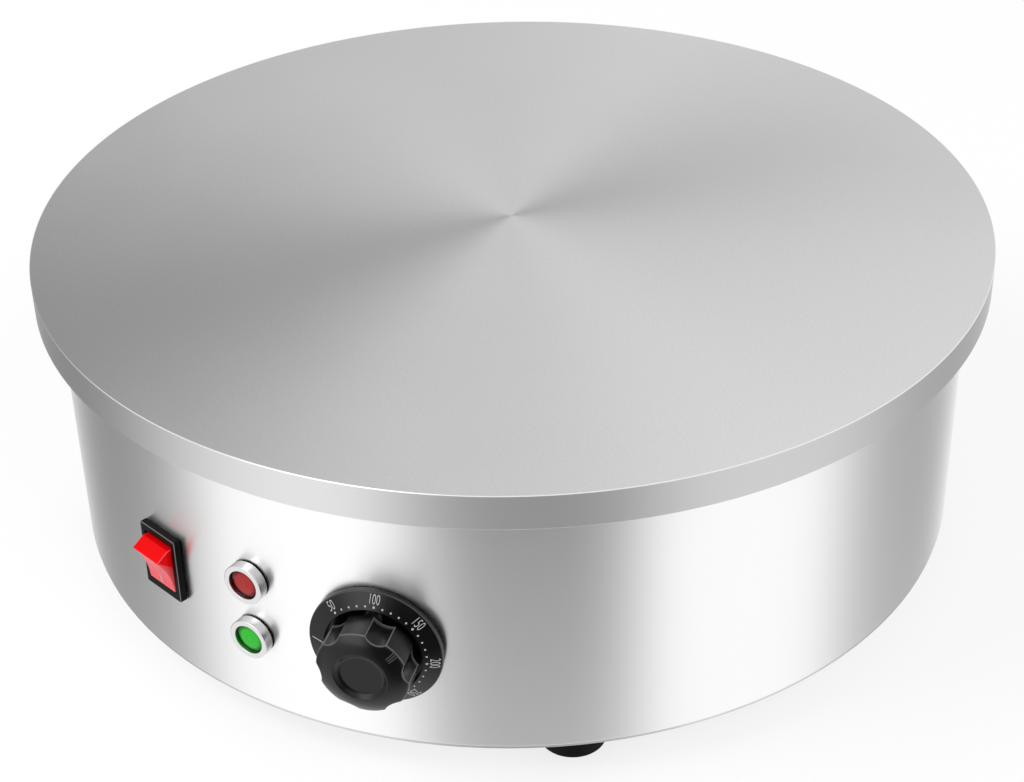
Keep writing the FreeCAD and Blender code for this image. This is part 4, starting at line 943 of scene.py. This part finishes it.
@dataclass(frozen=True)
class RockerSwitch:
    """The mains switch: a black housing with a red rocker in its well."""

    angle: float = -13.9
    height: float = 64.9
    frame_half: tuple[float, float] = (10.65, 14.5)
    frame_out: float = 3.1
    body_half: tuple[float, float] = (9.3, 12.7)
    body_depth: float = 20.0
    well_half: tuple[float, float] = (8.1, 11.29)
    pivot: float = 1.1
    tilt: float = 20.5
    ridge: float = 9.34
    crown: float = 5.8
    sag: float = 1.4
    end: float = 10.4
    half_width: float = 7.8
    edge: float = 0.22

    def place(self) -> Place:
        """The switch's frame on the drum."""
        return Place.on_drum(self.angle, self.height)

    def build(self) -> None:
        """Builds the housing, the rocker and its two marks."""
        settle(self.housing().piece("switch_frame"), BLACK_NYLON, Body.BASE, "black_plastic", "switch_housing")
        settle(self.rocker().piece("rocker_cap", 40), ROCKER_RED, Body.ROCKER, "red_plastic", "switch_rocker")
        settle(self.marks().piece("rocker_marks"), PRINT, Body.ROCKER, "white_insulation")

    def housing(self) -> Skin:
        """Rings of a round-cornered rectangle, from the well's floor up to the frame and back down the body."""
        floor = self.pivot - 8.0
        rows = [
            (0.0, 0.0, floor, 0.0),
            (*self.well_half, floor, 0.3),
            (*self.well_half, self.frame_out - 0.3, 0.3),
            (self.well_half[0] + 0.2, self.well_half[1] + 0.2, self.frame_out, 0.4),
            (self.well_half[0] + 0.3, self.well_half[1] + 0.3, self.frame_out, 0.4),
            (self.frame_half[0] - 0.35, self.frame_half[1] - 0.35, self.frame_out, 0.4),
            (self.frame_half[0] - 0.22, self.frame_half[1] - 0.22, self.frame_out, 0.4),
            (self.frame_half[0] - 0.07, self.frame_half[1] - 0.07, self.frame_out - 0.07, 0.45),
            (*self.frame_half, self.frame_out - 0.22, 0.5),
            (*self.frame_half, self.frame_out - 0.35, 0.5),
            (*self.frame_half, 0.05, 0.5),
            (*self.body_half, 0.05, 0.5),
            (*self.body_half, -self.body_depth, 0.5),
            (0.0, 0.0, -self.body_depth, 0.0),
        ]
        rings = [np.insert(box_ring(*row[:2], row[3]), 2, row[2], axis=1) for row in rows]
        # Painted highlight: the frame's front edge is marked for the paler edge colour.
        arris = [float(row[2] > self.frame_out - 0.25 and row[0] > self.frame_half[0] - 0.25) for row in rows]
        return Skin.grid(self.place().carry(np.stack(rings)), mark=np.array(arris)[:, None])

    def front(self, up: Array) -> Array:
        """How far the rocker's hollow front is from the pivot, at a height: the crown less a parabola's sag."""
        return self.crown - self.sag * (1 - (up / self.ridge) ** 2)

    def rocker(self) -> Skin:
        """The rocker's section carried across its width, drawn in a little at both ends so its edges are round."""
        outline = rounded(
            [
                (self.ridge, self.crown, 0.25),
                (-self.ridge, self.crown, 0.25),
                (-self.end, -0.44, 0.4),
                (-9.23, -3.5, 0.3),
                (9.23, -3.5, 0.3),
                (self.end, -0.44, 0.4),
            ],
            closed=True,
        )
        gap = int(np.argmax(np.linalg.norm(np.diff(outline, axis=0), axis=1)[: len(outline) // 2]))
        across = np.linspace(outline[gap], outline[gap + 1], 26)[1:-1]
        outline = np.concatenate([outline[: gap + 1], across, outline[gap + 1 :]])
        up, out = outline.T
        inner = (np.abs(up) < self.ridge) & (out > 4.5)
        out = np.where(inner, out - self.crown + self.front(up), out)
        # Painted highlight: the hollow front goes most of the way to pale pink, and fully at its top and bottom
        # edges.
        pale = np.where(inner, 0.75 + 0.25 * smooth(np.abs(up), 8.9, 9.1), 0.0)
        turn = np.linspace(0, np.pi / 2, 4)
        draw, shift = self.edge * (1 - np.sin(turn)), self.edge * (1 - np.cos(turn))
        station = np.concatenate([[-self.half_width] * 2, -self.half_width + shift, [-self.half_width + 0.6]])
        inset = np.concatenate([[self.end, 1.6 * self.edge], draw, [0.0]])
        station, inset = np.concatenate([station, -station[::-1]]), np.concatenate([inset, inset[::-1]])
        shrink = 1 - inset[:, None] / self.end
        x = np.broadcast_to(station[:, None], (len(station), len(up)))
        points = np.stack([x, up * shrink, out * shrink], axis=2)
        points[[0, -1]] = [[[-self.half_width, 0, 0]], [[self.half_width, 0, 0]]]
        turned = self.place().tilted(self.tilt, self.pivot)
        # Painted highlight along the rocker's side edges.
        rim = np.where(np.abs(station) > self.half_width - 0.75 * self.edge, 0.85, 0.0)
        rim[[0, 1, -2, -1]] = 0.0
        return Skin.grid(turned.carry(points), mark=np.maximum(pale[None, :], rim[:, None]))

    def marks(self) -> Skin:
        """The two marks, an upright stroke and a ring, laid on the hollow front and 0.04 mm thick."""
        turned = self.place().tilted(self.tilt, self.pivot)

        def laid(x: Array, up: Array) -> Skin:
            """A closed band over the front: its outer and inner edges above the front, then below it."""
            low, high = self.front(up) + PRINT_IN, self.front(up) + PRINT_OUT
            sides = (0, low), (0, high), (1, high), (1, low)
            rows = [np.stack([x[k], up[k], side[k]], axis=1) for k, side in sides]
            return Skin.grid(turned.carry(np.stack(rows)), along=True)

        turn = np.linspace(0, 2 * np.pi, 48, endpoint=False)
        ring = np.array([[1.75], [1.35]])
        circle = laid(ring * np.cos(turn), 5.1 + ring * np.sin(turn))
        outer = box_ring(0.36, 2.1, 0.12)
        stroke = np.stack([outer, outer * [0.5, 0.97]])
        bar = laid(stroke[:, :, 0], stroke[:, :, 1] - 6.2)
        core = laid(stroke[::-1, :, 0] * [[1.0], [0.02]], stroke[::-1, :, 1] * [[1.0], [0.9]] - 6.2)
        return Skin.join(circle, bar, core)


class LampColour(Enum):
    """The two pilot lamps: each one's name in the model, its height on the drum and its lens's finish."""

    RED = ("red", 76.8, LENS_RED)
    GREEN = ("green", 50.5, LENS_GREEN)


@dataclass(frozen=True)
class PilotLamp:
    """A pilot lamp: a gasket, a chromed bezel and a domed lens sunk in it.

    Args:
        colour: which lamp it is
    """

    colour: LampColour
    angle: float = 0.0
    radius: float = 8.5
    out: float = 4.7
    opening: float = 6.25
    barrel: float = 5.95
    gasket_radius: float = 8.35
    shoulder: float = 6.2
    ball: float = 30.0
    crown: float = 3.9
    groove: float = 1.6

    def build(self) -> None:
        """Three turned pieces: the lens's crown is a cap of a ball, with a fine groove round it."""
        name, height, glass = self.colour.value
        place = Place.on_drum(self.angle, height)
        gasket = rounded(
            [
                (self.barrel, 0.05, 0.1),
                (self.gasket_radius, 0.05, 0.1),
                (self.gasket_radius, 0.65, 0.1),
                (self.barrel, 0.65, 0.1),
            ],
            closed=True,
        )
        bezel = rounded(
            [
                (self.barrel, 0.7, 0.1),
                (self.radius, 0.7, 0.15),
                (self.radius, self.out, 0.25),
                (self.opening, self.out, 0.15),
                (self.opening, 1.45, 0.1),
                (self.barrel, 1.45, 0.05),
            ],
            closed=True,
        )
        shoulder = rounded(
            [
                (0.0, 1.5, 0.0),
                (self.shoulder, 1.5, 0.2),
                (self.shoulder, 2.9, 0.3),
                (4.3, 3.59, 0.5),
                (3.4, 3.707, 0.0),
            ]
        )
        across = np.linspace(3.1, 0.0, 32)
        groove = 0.06 * (1 - smooth(np.abs(across - self.groove), 0.0, 0.35))
        crown = self.crown - self.ball + np.sqrt(self.ball**2 - across**2) - groove
        profile = np.concatenate([shoulder, np.stack([across, crown], axis=1)])
        in_groove = np.abs(profile[:, 0] - self.groove) < 0.25
        # Painted shade: the lens darkens toward its edge, where the bezel shades it, and a little in its groove.
        dark = np.maximum(smooth(profile[:, 0], 4.2, 5.0), 0.2 * in_groove)
        ring = Skin.turned(place, gasket, True, 96).piece(f"{name}_gasket")
        settle(ring, RUBBER, Body.BASE, "black_rubber", f"{name}_lamp_gasket")
        ring = Skin.turned(place, bezel, True, 128).piece(f"{name}_bezel")
        settle(ring, CHROME, Body.BASE, "bezel_chrome", f"{name}_lamp_bezel")
        lens = Skin.turned(place, profile, steps=96, mark=dark).piece(f"{name}_dome")
        settle(lens, glass, Body.BASE, f"{name}_lens", f"{name}_lamp_lens")


@dataclass(frozen=True)
class Dial:
    """The black dial plate round the knob, with its printed scale of temperatures.

    The scale runs clockwise: a temperature T stands at zero_turn + (T - 100) * per_degree from the top.
    """

    angle: float = 15.9
    height: float = 62.9
    radius: float = 26.0
    inner: float = 19.0
    face: float = 6.0
    rim: float = 3.0
    recess: float = 3.2
    edge: float = 0.5
    hole: float = 5.3
    seat: float = 17.0
    seat_out: float = 0.8
    zero_turn: float = 3.4
    per_degree: float = 0.923
    dot_ring: float = 20.6
    number_ring: float = 23.4
    number_height: float = 3.5

    def place(self) -> Place:
        """The dial's frame on the drum."""
        return Place.on_drum(self.angle, self.height)

    def build(self) -> None:
        """Builds the plate and its print."""
        profile = rounded(
            [
                (self.hole, 0.05, 0.1),
                (self.seat, 0.05, 0.1),
                (self.seat, self.seat_out, 0.1),
                (self.radius, self.seat_out, 0.3),
                (self.radius, self.rim - 0.3, self.edge),
                (self.inner, self.face, 0.25),
                (self.inner, self.recess, 0.4),
                (self.hole, self.recess, 0.1),
            ],
            closed=True,
        )
        # Painted highlight: a pale line along the rim's front edge.
        worn = 0.35 * (np.hypot(profile[:, 0] - self.radius, profile[:, 1] - self.rim + 0.3) < 0.4)
        plate = Skin.turned(self.place(), profile, True, 256, worn)
        settle(plate.piece("dial_ring"), BLACK_ABS, Body.BASE, "black_plastic", "dial_plate")
        settle(self.scale().piece("dial_scale"), PRINT, Body.BASE, "white_insulation")

    def turn(self, temperature: float) -> float:
        """Where a temperature stands, in radians anticlockwise from the frame's x."""
        return np.radians(90 - self.zero_turn - (temperature - 100) * self.per_degree)

    def scale(self) -> Skin:
        """Dots every ten degrees, numbers every fifty and a stroke at nought, laid on the sloping face."""
        dots = [self.dot(value, 0.44 if value % 50 == 0 else 0.36) for value in range(50, 301, 10)]
        numbers = [self.number(value) for value in range(50, 301, 50)]
        return Skin.join(*dots, self.stroke(), *numbers).bent(self.lay_on)

    def lay_on(self, points: Array) -> Array:
        """Puts flat print on the face, whose height falls evenly from its inner edge to its rim.

        Args:
            points: the print's points, in metres, with z at 0 where it touches the face

        Returns:
            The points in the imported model's frame.
        """
        flat = points / MM
        fall = (self.face - self.rim + 0.3) / (self.radius - self.inner)
        flat[:, 2] += self.face - fall * (np.hypot(flat[:, 0], flat[:, 1]) - self.inner)
        return self.place().carry(flat)

    def dot(self, temperature: float, radius: float) -> Skin:
        """A printed dot: a short round stub."""
        turn = self.turn(temperature)
        middle = np.array([np.cos(turn), np.sin(turn), 0.0]) * self.dot_ring * MM
        profile = np.array([(0.0, PRINT_IN), (radius, PRINT_IN), (radius, PRINT_OUT), (0.0, PRINT_OUT)]) * MM
        return Skin.turned(Place.drawn(), profile, steps=16).bent(lambda points: points + middle)

    def stroke(self) -> Skin:
        """The radial stroke at nought."""
        turn = self.turn(0.0)
        away, aside = np.array([np.cos(turn), np.sin(turn), 0.0]), np.array([-np.sin(turn), np.cos(turn), 0.0])
        ring = box_ring(2.3, 0.2, 0.1)
        middle = (self.dot_ring + 1.5) * away
        flat = middle + ring[:, :1] * away + ring[:, 1:] * aside
        rows = [np.broadcast_to(middle, flat.shape), flat, flat, np.broadcast_to(middle, flat.shape)]
        level = np.array([PRINT_IN, PRINT_IN, PRINT_OUT, PRINT_OUT])[:, None, None] * [0.0, 0.0, 1.0]
        return Skin.grid((np.stack(rows) + level) * MM)

    def number(self, value: int) -> Skin:
        """A printed number, narrow, with its top away from the knob."""
        text = bpy.data.curves.new("number", "FONT")
        text.body, text.align_x, text.align_y = str(value), "CENTER", "CENTER"
        text.extrude, text.offset = 0.045, -0.012
        holder = bpy.data.objects.new("number", text)
        bpy.context.scene.collection.objects.link(holder)
        bpy.context.view_layer.update()
        mesh = bpy.data.meshes.new_from_object(holder)
        points = np.zeros(len(mesh.vertices) * 3)
        mesh.vertices.foreach_get("co", points)
        points = points.reshape(-1, 3)
        corners, sizes = np.zeros(len(mesh.loops), int), np.zeros(len(mesh.polygons), int)
        mesh.loops.foreach_get("vertex_index", corners)
        mesh.polygons.foreach_get("loop_total", sizes)
        bpy.data.objects.remove(holder)
        bpy.data.curves.remove(text)
        bpy.data.meshes.remove(mesh)
        middle = (points.max(0) + points.min(0)) / 2
        size = self.number_height / np.ptp(points[:, 1])
        points = (points - middle) * [size * 0.6, size, 1.0] + [0.0, self.number_ring, 0.0]
        turn = self.turn(value) - np.pi / 2
        spin = np.array([[np.cos(turn), np.sin(turn), 0], [-np.sin(turn), np.cos(turn), 0], [0, 0, 1]])
        return Skin(points @ spin * MM, corners, sizes, np.zeros((len(corners), 2)), np.zeros(len(points)))


@dataclass(frozen=True)
class Knob:
    """The fluted grip with a dished top and three pointer lines cut into its shoulder."""

    angle: float = 15.9
    height: float = 62.9
    base: float = 7.0
    base_radius: float = 18.2
    rim: float = 18.0
    rim_radius: float = 17.9
    dome_middle: tuple[float, float] = (7.635, 3.214)
    dome_radius: float = 18.0
    dish: tuple[float, float] = (10.4, 21.0)
    dish_floor: tuple[float, float] = (8.5, 19.5)
    edge: float = 0.2
    soft: float = 0.2
    flutes: int = 6
    flute_start: float = 20.0
    flute_half: float = 13.5
    flute_ring: float = 23.9
    flute_radius: float = 7.75
    pointer: float = 49.5
    pointer_pitch: float = 3.4
    pointer_start: float = 14.2
    pointer_depth: float = 0.35
    dome_start: float = 11.6
    hollow: float = 13.5
    hollow_top: float = 15.0
    hub: float = 8.0
    hub_low: float = 4.0
    shaft: float = 3.05
    shaft_top: float = 17.0

    def dome(self, reach: Array) -> Array:
        """The shoulder's height at a distance from the axis, on a circle about dome_middle."""
        return self.dome_middle[1] + np.sqrt(self.dome_radius**2 - (reach - self.dome_middle[0]) ** 2)

    def columns(self) -> Array:
        """The columns' angles, clockwise from the top in degrees: close together at the flutes' edges and lines."""
        every = np.arange(0, 360, 1.2)
        middles = self.flute_start + 360 / self.flutes * np.arange(self.flutes)
        edges = (middles[:, None] + np.array([-self.flute_half, self.flute_half])).ravel()
        fine = (edges[:, None] + np.arange(-0.9, 1.0, 0.15)).ravel()
        lines = self.pointer + np.arange(-5.2, 5.21, 0.17)
        angles = np.unique(np.round(np.concatenate([every, fine, lines]) % 360, 3))
        return angles[np.diff(angles, append=angles[0] + 360) > 0.09]

    def wall(self, clockwise: Array, side: Array) -> Array:
        """The grip's radius: the lower of its side and the flutes' circles, blended at their edges.

        Seen from the axis at an angle d from a flute's middle, its circle is at
        ring cos d - sqrt(radius squared - (ring sin d) squared).
        """
        pitch = 360 / self.flutes
        away = np.radians((clockwise - self.flute_start + pitch / 2) % pitch - pitch / 2)
        inside = self.flute_radius**2 - (self.flute_ring * np.sin(away)) ** 2
        flute = np.where(inside > 0, self.flute_ring * np.cos(away) - np.sqrt(np.maximum(inside, 0)), 30.0)
        return blend_low(flute, side, self.soft)

    def build(self) -> None:
        """Rows from the dish over the shoulder and down the fluted wall, then back up inside the hollow."""
        clockwise = self.columns()
        level = np.ones_like(clockwise)
        dish = rounded(
            [
                (0.0, self.dish_floor[1], 0.0),
                (*self.dish_floor, 2.2),
                (*self.dish, 0.6),
                (self.dome_start, float(self.dome(np.array(self.dome_start))), 0.0),
            ],
            steps=8,
        )
        rows = [(reach * level, height * level) for reach, height in dish]
        rim = self.wall(clockwise, self.rim_radius * level)
        shoulder = rim - self.edge
        for share in np.linspace(0, 1, 15)[1:]:
            reach = self.dome_start + (shoulder - self.dome_start) * share
            rows.append((reach, self.dome(reach)))
        top, below = self.dome(shoulder), self.dome(rim) - self.edge
        for share in np.linspace(0, 1, 6)[1:]:
            weights = (1 - share) ** 2, 2 * share * (1 - share), share**2
            reach = weights[0] * shoulder + weights[1] * rim + weights[2] * rim
            rows.append((reach, weights[0] * top + weights[1] * self.dome(rim) + weights[2] * below))
        for share in (0.02, *np.linspace(0, 1, 7)[1:]):
            height = below + (self.base + 0.3 - below) * share
            slope = (self.base_radius - self.rim_radius) / (self.rim - self.base)
            side = self.rim_radius + slope * np.clip(self.rim - height, 0, None)
            rows.append((self.wall(clockwise, side), height))
        foot = rows[-1][0]
        rows += [(foot - 0.1, (self.base + 0.1) * level), (foot - 0.3, self.base * level)]
        hollow = rounded(
            [
                (15.0, self.base, 0.0),
                (self.hollow, self.base, 0.3),
                (self.hollow, self.hollow_top, 0.5),
                (self.hub, self.hollow_top, 0.5),
                (self.hub, self.hub_low, 0.3),
                (self.shaft, self.hub_low, 0.2),
                (self.shaft, self.shaft_top, 0.2),
                (0.0, self.shaft_top, 0.0),
            ]
        )
        rows += [(reach * level, height * level) for reach, height in hollow]
        reach, height = (np.stack(values) for values in zip(*rows))
        cut = self.lines(clockwise, reach, height)
        # Painted highlight along the grip's edges, and the pointer lines painted paler in the same way.
        worn = np.maximum(self.worn(clockwise, reach, height), 0.8 * cut / self.pointer_depth)
        height = height - cut
        place = Place.on_drum(self.angle, self.height)
        skin = Skin.lathe(place, np.radians(90 - clockwise), reach, height, mark=worn)
        settle(skin.piece("knob_grip"), BLACK_ABS, Body.KNOB, "black_plastic", "control_knob")

    def worn(self, clockwise: Array, reach: Array, height: Array) -> Array:
        """Where the grip is painted pale as a highlight: within 0.3 mm of the shoulder's edge, the flutes' edges and
        their feet.
        """
        rim = self.wall(clockwise, self.rim_radius * np.ones_like(clockwise))
        arris = 1 - smooth(np.hypot(reach - rim, height - self.dome(rim)), 0.12, 0.34)
        pitch = 360 / self.flutes
        away = (clockwise - self.flute_start + pitch / 2) % pitch - pitch / 2
        beside = 1 - smooth(np.radians(np.abs(np.abs(away) - self.flute_half)) * self.rim_radius, 0.1, 0.3)
        beside = beside * (reach > rim - 0.1) * (height > self.base)
        outside = reach > self.flute_ring - self.flute_radius - 0.2
        foot = outside * (np.abs(away) < self.flute_half) * (np.abs(height - self.base - 0.2) < 0.15)
        return np.maximum(np.maximum(arris, beside), foot)

    def lines(self, clockwise: Array, reach: Array, height: Array) -> Array:
        """How deep the pointer lines cut at each point: in full within 0.16 mm of a line's middle, none past 0.28."""
        turns = np.radians(self.pointer + self.pointer_pitch * np.array([-1, 0, 1]))
        aside = reach[:, :, None] * np.sin(np.radians(clockwise)[None, :, None] - turns)
        near = 1 - smooth(np.abs(aside).min(axis=2), 0.16, 0.28)
        ahead = np.cos(np.radians(clockwise - self.pointer)) > 0
        started = smooth(reach, self.pointer_start - 0.1, self.pointer_start + 0.1)
        return self.pointer_depth * near * started * ahead * (height > self.rim - 0.15)


@dataclass(frozen=True)
class Gland:
    """The cord's gland at the back: a hexagon body, a domed nut and the rubber seal in its mouth."""

    angle: float = 180.0
    height: float = 40.0
    across: float = 24.0
    nut_low: float = 5.15
    nut_high: float = 13.6
    reach: float = 17.8
    mouth: float = 5.0
    flat_count: int = 6

    def hexagon(self, turn: Array, across: float, corner: float) -> Array:
        """A hexagon's radius at each turn, half its width over the cosine of the angle from a flat's middle."""
        away = (turn + np.pi / self.flat_count) % (2 * np.pi / self.flat_count) - np.pi / self.flat_count
        return blend_low(across / 2 / np.cos(away), np.full_like(turn, corner), 0.4)

    def build(self) -> None:
        """The hexagon, the nut with its grip flutes and the seal."""
        place = Place.on_drum(self.angle, self.height)
        turn = np.linspace(0, 2 * np.pi, 240, endpoint=False)
        hexagon = self.hexagon(turn, self.across, 13.6)
        rows = [
            (7.7, -12.0), (9.9, -12.0), (9.9, 0.05), (hexagon - 0.3, 0.05), (hexagon, 0.35), (hexagon, 0.5),
            (hexagon, 4.6), (hexagon, 4.75), (hexagon - 0.3, 5.05), (9.2, 5.05), (9.2, 12.05), (7.7, 12.05),
        ]
        body = self.rings(place, turn, rows).piece("gland_hexagon")
        settle(body, BLACK_ABS, Body.BASE, "black_plastic", "gland_body")
        grip = self.across / 2 - 0.45 * smooth(np.cos(turn * 12), 0.1, 0.9)
        rise = self.reach - 0.5 - self.nut_high
        nose = [
            (grip * (1 - d) + 7.1 * d - 0.9 * d * (d - 1), self.nut_high + rise * d) for d in np.linspace(0, 1, 8)
        ]
        rows = [
            (9.25, self.nut_low), (grip - 0.3, self.nut_low), (grip, self.nut_low + 0.3), (grip, self.nut_low + 0.45),
            (grip, self.nut_high - 0.2), *nose, (6.6, self.reach), (5.3, self.reach),
            (self.mouth, self.reach - 0.3), (self.mouth, self.nut_high), (9.25, self.nut_high),
        ]
        nut = self.rings(place, turn, rows).piece("gland_nut")
        settle(nut, BLACK_ABS, Body.BASE, "black_plastic", "gland_dome_nut")
        seal = rounded([(4.5, -1.95, 0.3), (7.65, -1.95, 0.3), (7.65, 13.55, 0.3), (4.5, 13.55, 0.5)], closed=True)
        sleeve = Skin.turned(place, seal, True, 96).piece("gland_sleeve")
        settle(sleeve, RUBBER, Body.BASE, "black_rubber", "gland_seal")

    def rings(self, place: Place, turn: Array, rows: list[tuple]) -> Skin:
        """A closed surface through rows whose radius may change with the turn."""
        level = np.ones_like(turn)
        reach, height = (np.stack([value * level for value in values]) for values in zip(*rows))
        return Skin.lathe(place, turn, reach, height, ring=True)


@dataclass(frozen=True)
class Innards:
    """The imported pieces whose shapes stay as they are, in finer finishes."""

    def build(self) -> None:
        """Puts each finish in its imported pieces' material slots."""
        for name, node in sorted(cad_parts.items()):
            if node.hide_render:
                continue
            for slot in node.material_slots:
                finish = CAD_FINISHES[slot.material.name.split(".")[0]]
                slot.material = finish.make()
                LOG.info("%s: packed shape, %s", name, finish.name)


# The studio


@dataclass(frozen=True)
class Flag:
    """A card at the studio's wall, as polished metal sees it: dark, or bright where its depth is below nought.

    Args:
        azimuth: its direction, in degrees from -Y towards +X
        depth: how much of the wall's light it takes away
        half_width: how far it reaches to each side before it fades out, in degrees
        foot: the heights between which it comes in, as the sine of the elevation
        head: the heights between which it fades out
    """

    azimuth: float
    depth: float
    half_width: float
    foot: tuple[float, float] = (-0.9, -0.59)
    head: tuple[float, float] = (0.0, 0.3)


@dataclass(frozen=True)
class Studio:
    """A pale floor, a soft tent of light with dark and bright cards, two soft boxes and the camera.

    Args:
        wall: the tent's light as glossy surfaces see it
        flags: its cards
        dimmest: the least light that any card leaves
        soft: its light as matt surfaces see it
        floor_half: half the floor's width, in metres
        floor_glow: the share of plain white in the floor as the camera sees it
        camera_spot: where the camera hangs, in metres
        camera_turns: its turns about the upright, about its own x, and in roll, in degrees
        camera_lens: its focal length, in millimetres, for a sensor 36 wide
    """

    wall: float = 1.19
    flags: tuple[Flag, ...] = (
        Flag(34, 1.16, 38, (-0.82, -0.57), (0.15, 0.45)),
        Flag(-86, 0.88, 44),
        Flag(149, 0.76, 41, (-0.9, -0.59), (-0.3, 0.0)),
        Flag(-116, 0.95, 48, (0.1, 0.4), (0.62, 0.86)),
        Flag(-130, -0.7, 22, (0.8, 0.88), (0.94, 0.99)),
        Flag(-174, -0.7, 24, (0.7, 0.82), (0.9, 0.97)),
        Flag(-12, -2.3, 26, (-0.04, 0.12), (0.6, 0.9)),
    )
    dimmest: float = 0.06
    soft: float = 0.72
    floor_half: float = 12.0
    floor_glow: float = 0.75
    camera_spot: tuple[float, float, float] = (0.4239, -0.6798, 0.5801)
    camera_turns: tuple[float, float, float] = (32.05, 90 - 33.40, -1.274)
    camera_lens: float = 76.1

    def build(self) -> None:
        """Builds everything that isn't the object."""
        bpy.context.scene.view_settings.view_transform = "Standard"
        self.camera()
        self.world()
        self.floor()
        self.box("key", (-1.6, -1.5, 2.4), 1.8, 46.0)
        self.box("fill", (2.2, -0.6, 2.0), 2.0, 22.0)

    def camera(self) -> None:
        """The camera, at the photograph's angle: turned about the upright, pitched down and rolled a little."""
        lens = bpy.data.cameras.new("camera")
        lens.sensor_width, lens.lens = 36.0, self.camera_lens
        lens.clip_start, lens.clip_end = 0.05, 60.0
        camera = bpy.data.objects.new("camera", lens)
        bpy.context.scene.collection.objects.link(camera)
        turns = [Matrix.Rotation(np.radians(angle), 4, axis) for angle, axis in zip(self.camera_turns, "ZXZ")]
        camera.matrix_world = Matrix.Translation(self.camera_spot) @ turns[0] @ turns[1] @ turns[2]
        bpy.context.scene.camera = camera

    def world(self) -> None:
        """White to the camera, an even soft light to matt surfaces, and the tent with its cards to glossy ones."""
        world = bpy.data.worlds.new("tent")
        bpy.context.scene.world = world
        world.use_nodes = True
        world.cycles.sampling_method = "NONE"
        tree = world.node_tree
        tree.nodes.clear()
        way = add(tree, "TexCoord").outputs["Generated"]
        level = add(tree, "VectorMath", {0: way, 1: (1.0, 1.0, 0.0)}, operation="MULTIPLY")
        level = add(tree, "VectorMath", {0: level.outputs[0]}, operation="NORMALIZE").outputs[0]
        height = add(tree, "SeparateXYZ", {0: way}).outputs["Z"]
        shade = 0.0
        for flag in self.flags:
            turn = np.radians(flag.azimuth)
            feeds = {0: level, 1: (np.sin(turn), -np.cos(turn), 0.0)}
            toward = add(tree, "VectorMath", feeds, operation="DOT_PRODUCT").outputs["Value"]
            edge = float(np.cos(np.radians(flag.half_width)))
            feeds = {0: toward, 1: edge, 2: 1.0, 3: 0.0, 4: flag.depth}
            card = add(tree, "MapRange", feeds, interpolation_type="SMOOTHSTEP").outputs[0]
            rise = stretch(tree, height, flag.foot, (0.0, 1.0))
            fade = stretch(tree, height, flag.head, (1.0, 0.0))
            shade = sums(tree, "MULTIPLY_ADD", card, sums(tree, "MULTIPLY", rise, fade), shade)
        tent = sums(tree, "MAXIMUM", sums(tree, "SUBTRACT", self.wall, shade), self.dimmest)
        path = add(tree, "LightPath").outputs
        seen = sums(tree, "MAXIMUM", path["Is Camera Ray"], path["Is Transmission Ray"])
        strength = mix(tree, seen, mix(tree, path["Is Glossy Ray"], self.soft, tent), 1.0)
        light = add(tree, "Background", {"Color": WHITE, "Strength": strength})
        add(tree, "OutputWorld", {"Surface": light.outputs[0]})

    def floor(self) -> None:
        """A wide white floor that keeps the object's shadow; from below it can be seen through."""
        half = self.floor_half
        mesh = bpy.data.meshes.new("floor")
        mesh.from_pydata([(-half, -half, 0), (half, -half, 0), (half, half, 0), (-half, half, 0)], [], [(0, 1, 2, 3)])
        floor = bpy.data.objects.new("floor", mesh)
        bpy.context.scene.collection.objects.link(floor)
        floor.visible_glossy = False
        material = bpy.data.materials.new("paper_white")
        material.use_nodes = True
        tree = material.node_tree
        tree.nodes.clear()
        paper = add(tree, "BsdfDiffuse", {"Color": linear("#F4F4F4")})
        bright = add(tree, "Emission", {"Color": WHITE, "Strength": 1.0})
        seen = add(tree, "LightPath").outputs["Is Camera Ray"]
        share = sums(tree, "MULTIPLY", seen, self.floor_glow)
        lit = add(tree, "MixShader", {0: share, 1: paper.outputs[0], 2: bright.outputs[0]})
        below = add(tree, "NewGeometry").outputs["Backfacing"]
        clear = add(tree, "BsdfTransparent").outputs[0]
        whole = add(tree, "MixShader", {0: below, 1: lit.outputs[0], 2: clear})
        add(tree, "OutputMaterial", {"Surface": whole.outputs[0]})
        mesh.materials.append(material)

    def box(self, name: str, spot: tuple[float, float, float], size: float, power: float) -> None:
        """A soft box that looks at the object.

        Args:
            name: its name
            spot: where it hangs, in metres
            size: the length of its side, in metres
            power: its power, in watts
        """
        lamp = bpy.data.lights.new(name, "AREA")
        lamp.shape, lamp.size, lamp.energy = "SQUARE", size, power
        holder = bpy.data.objects.new(name, lamp)
        bpy.context.scene.collection.objects.link(holder)
        away = Vector(spot) - Vector((0.0, 0.0, 0.08))
        holder.matrix_world = Matrix.Translation(spot) @ away.to_track_quat("Z", "Y").to_matrix().to_4x4()
        holder.visible_glossy = False


def main() -> None:
    """Builds the object and its studio, and reports each piece."""
    logging.basicConfig(level=logging.INFO, format="%(name)s: %(message)s")
    parts = [Griddle(), Drum(), *(Foot(number) for number in range(1, 5)), RockerSwitch()]
    parts += [*(PilotLamp(colour) for colour in LampColour), Dial(), Knob(), Gland(), Innards(), Studio()]
    for part in parts:
        LOG.info("building: %s", type(part).__name__)
        part.build()


if __name__ == "__main__":
    main()
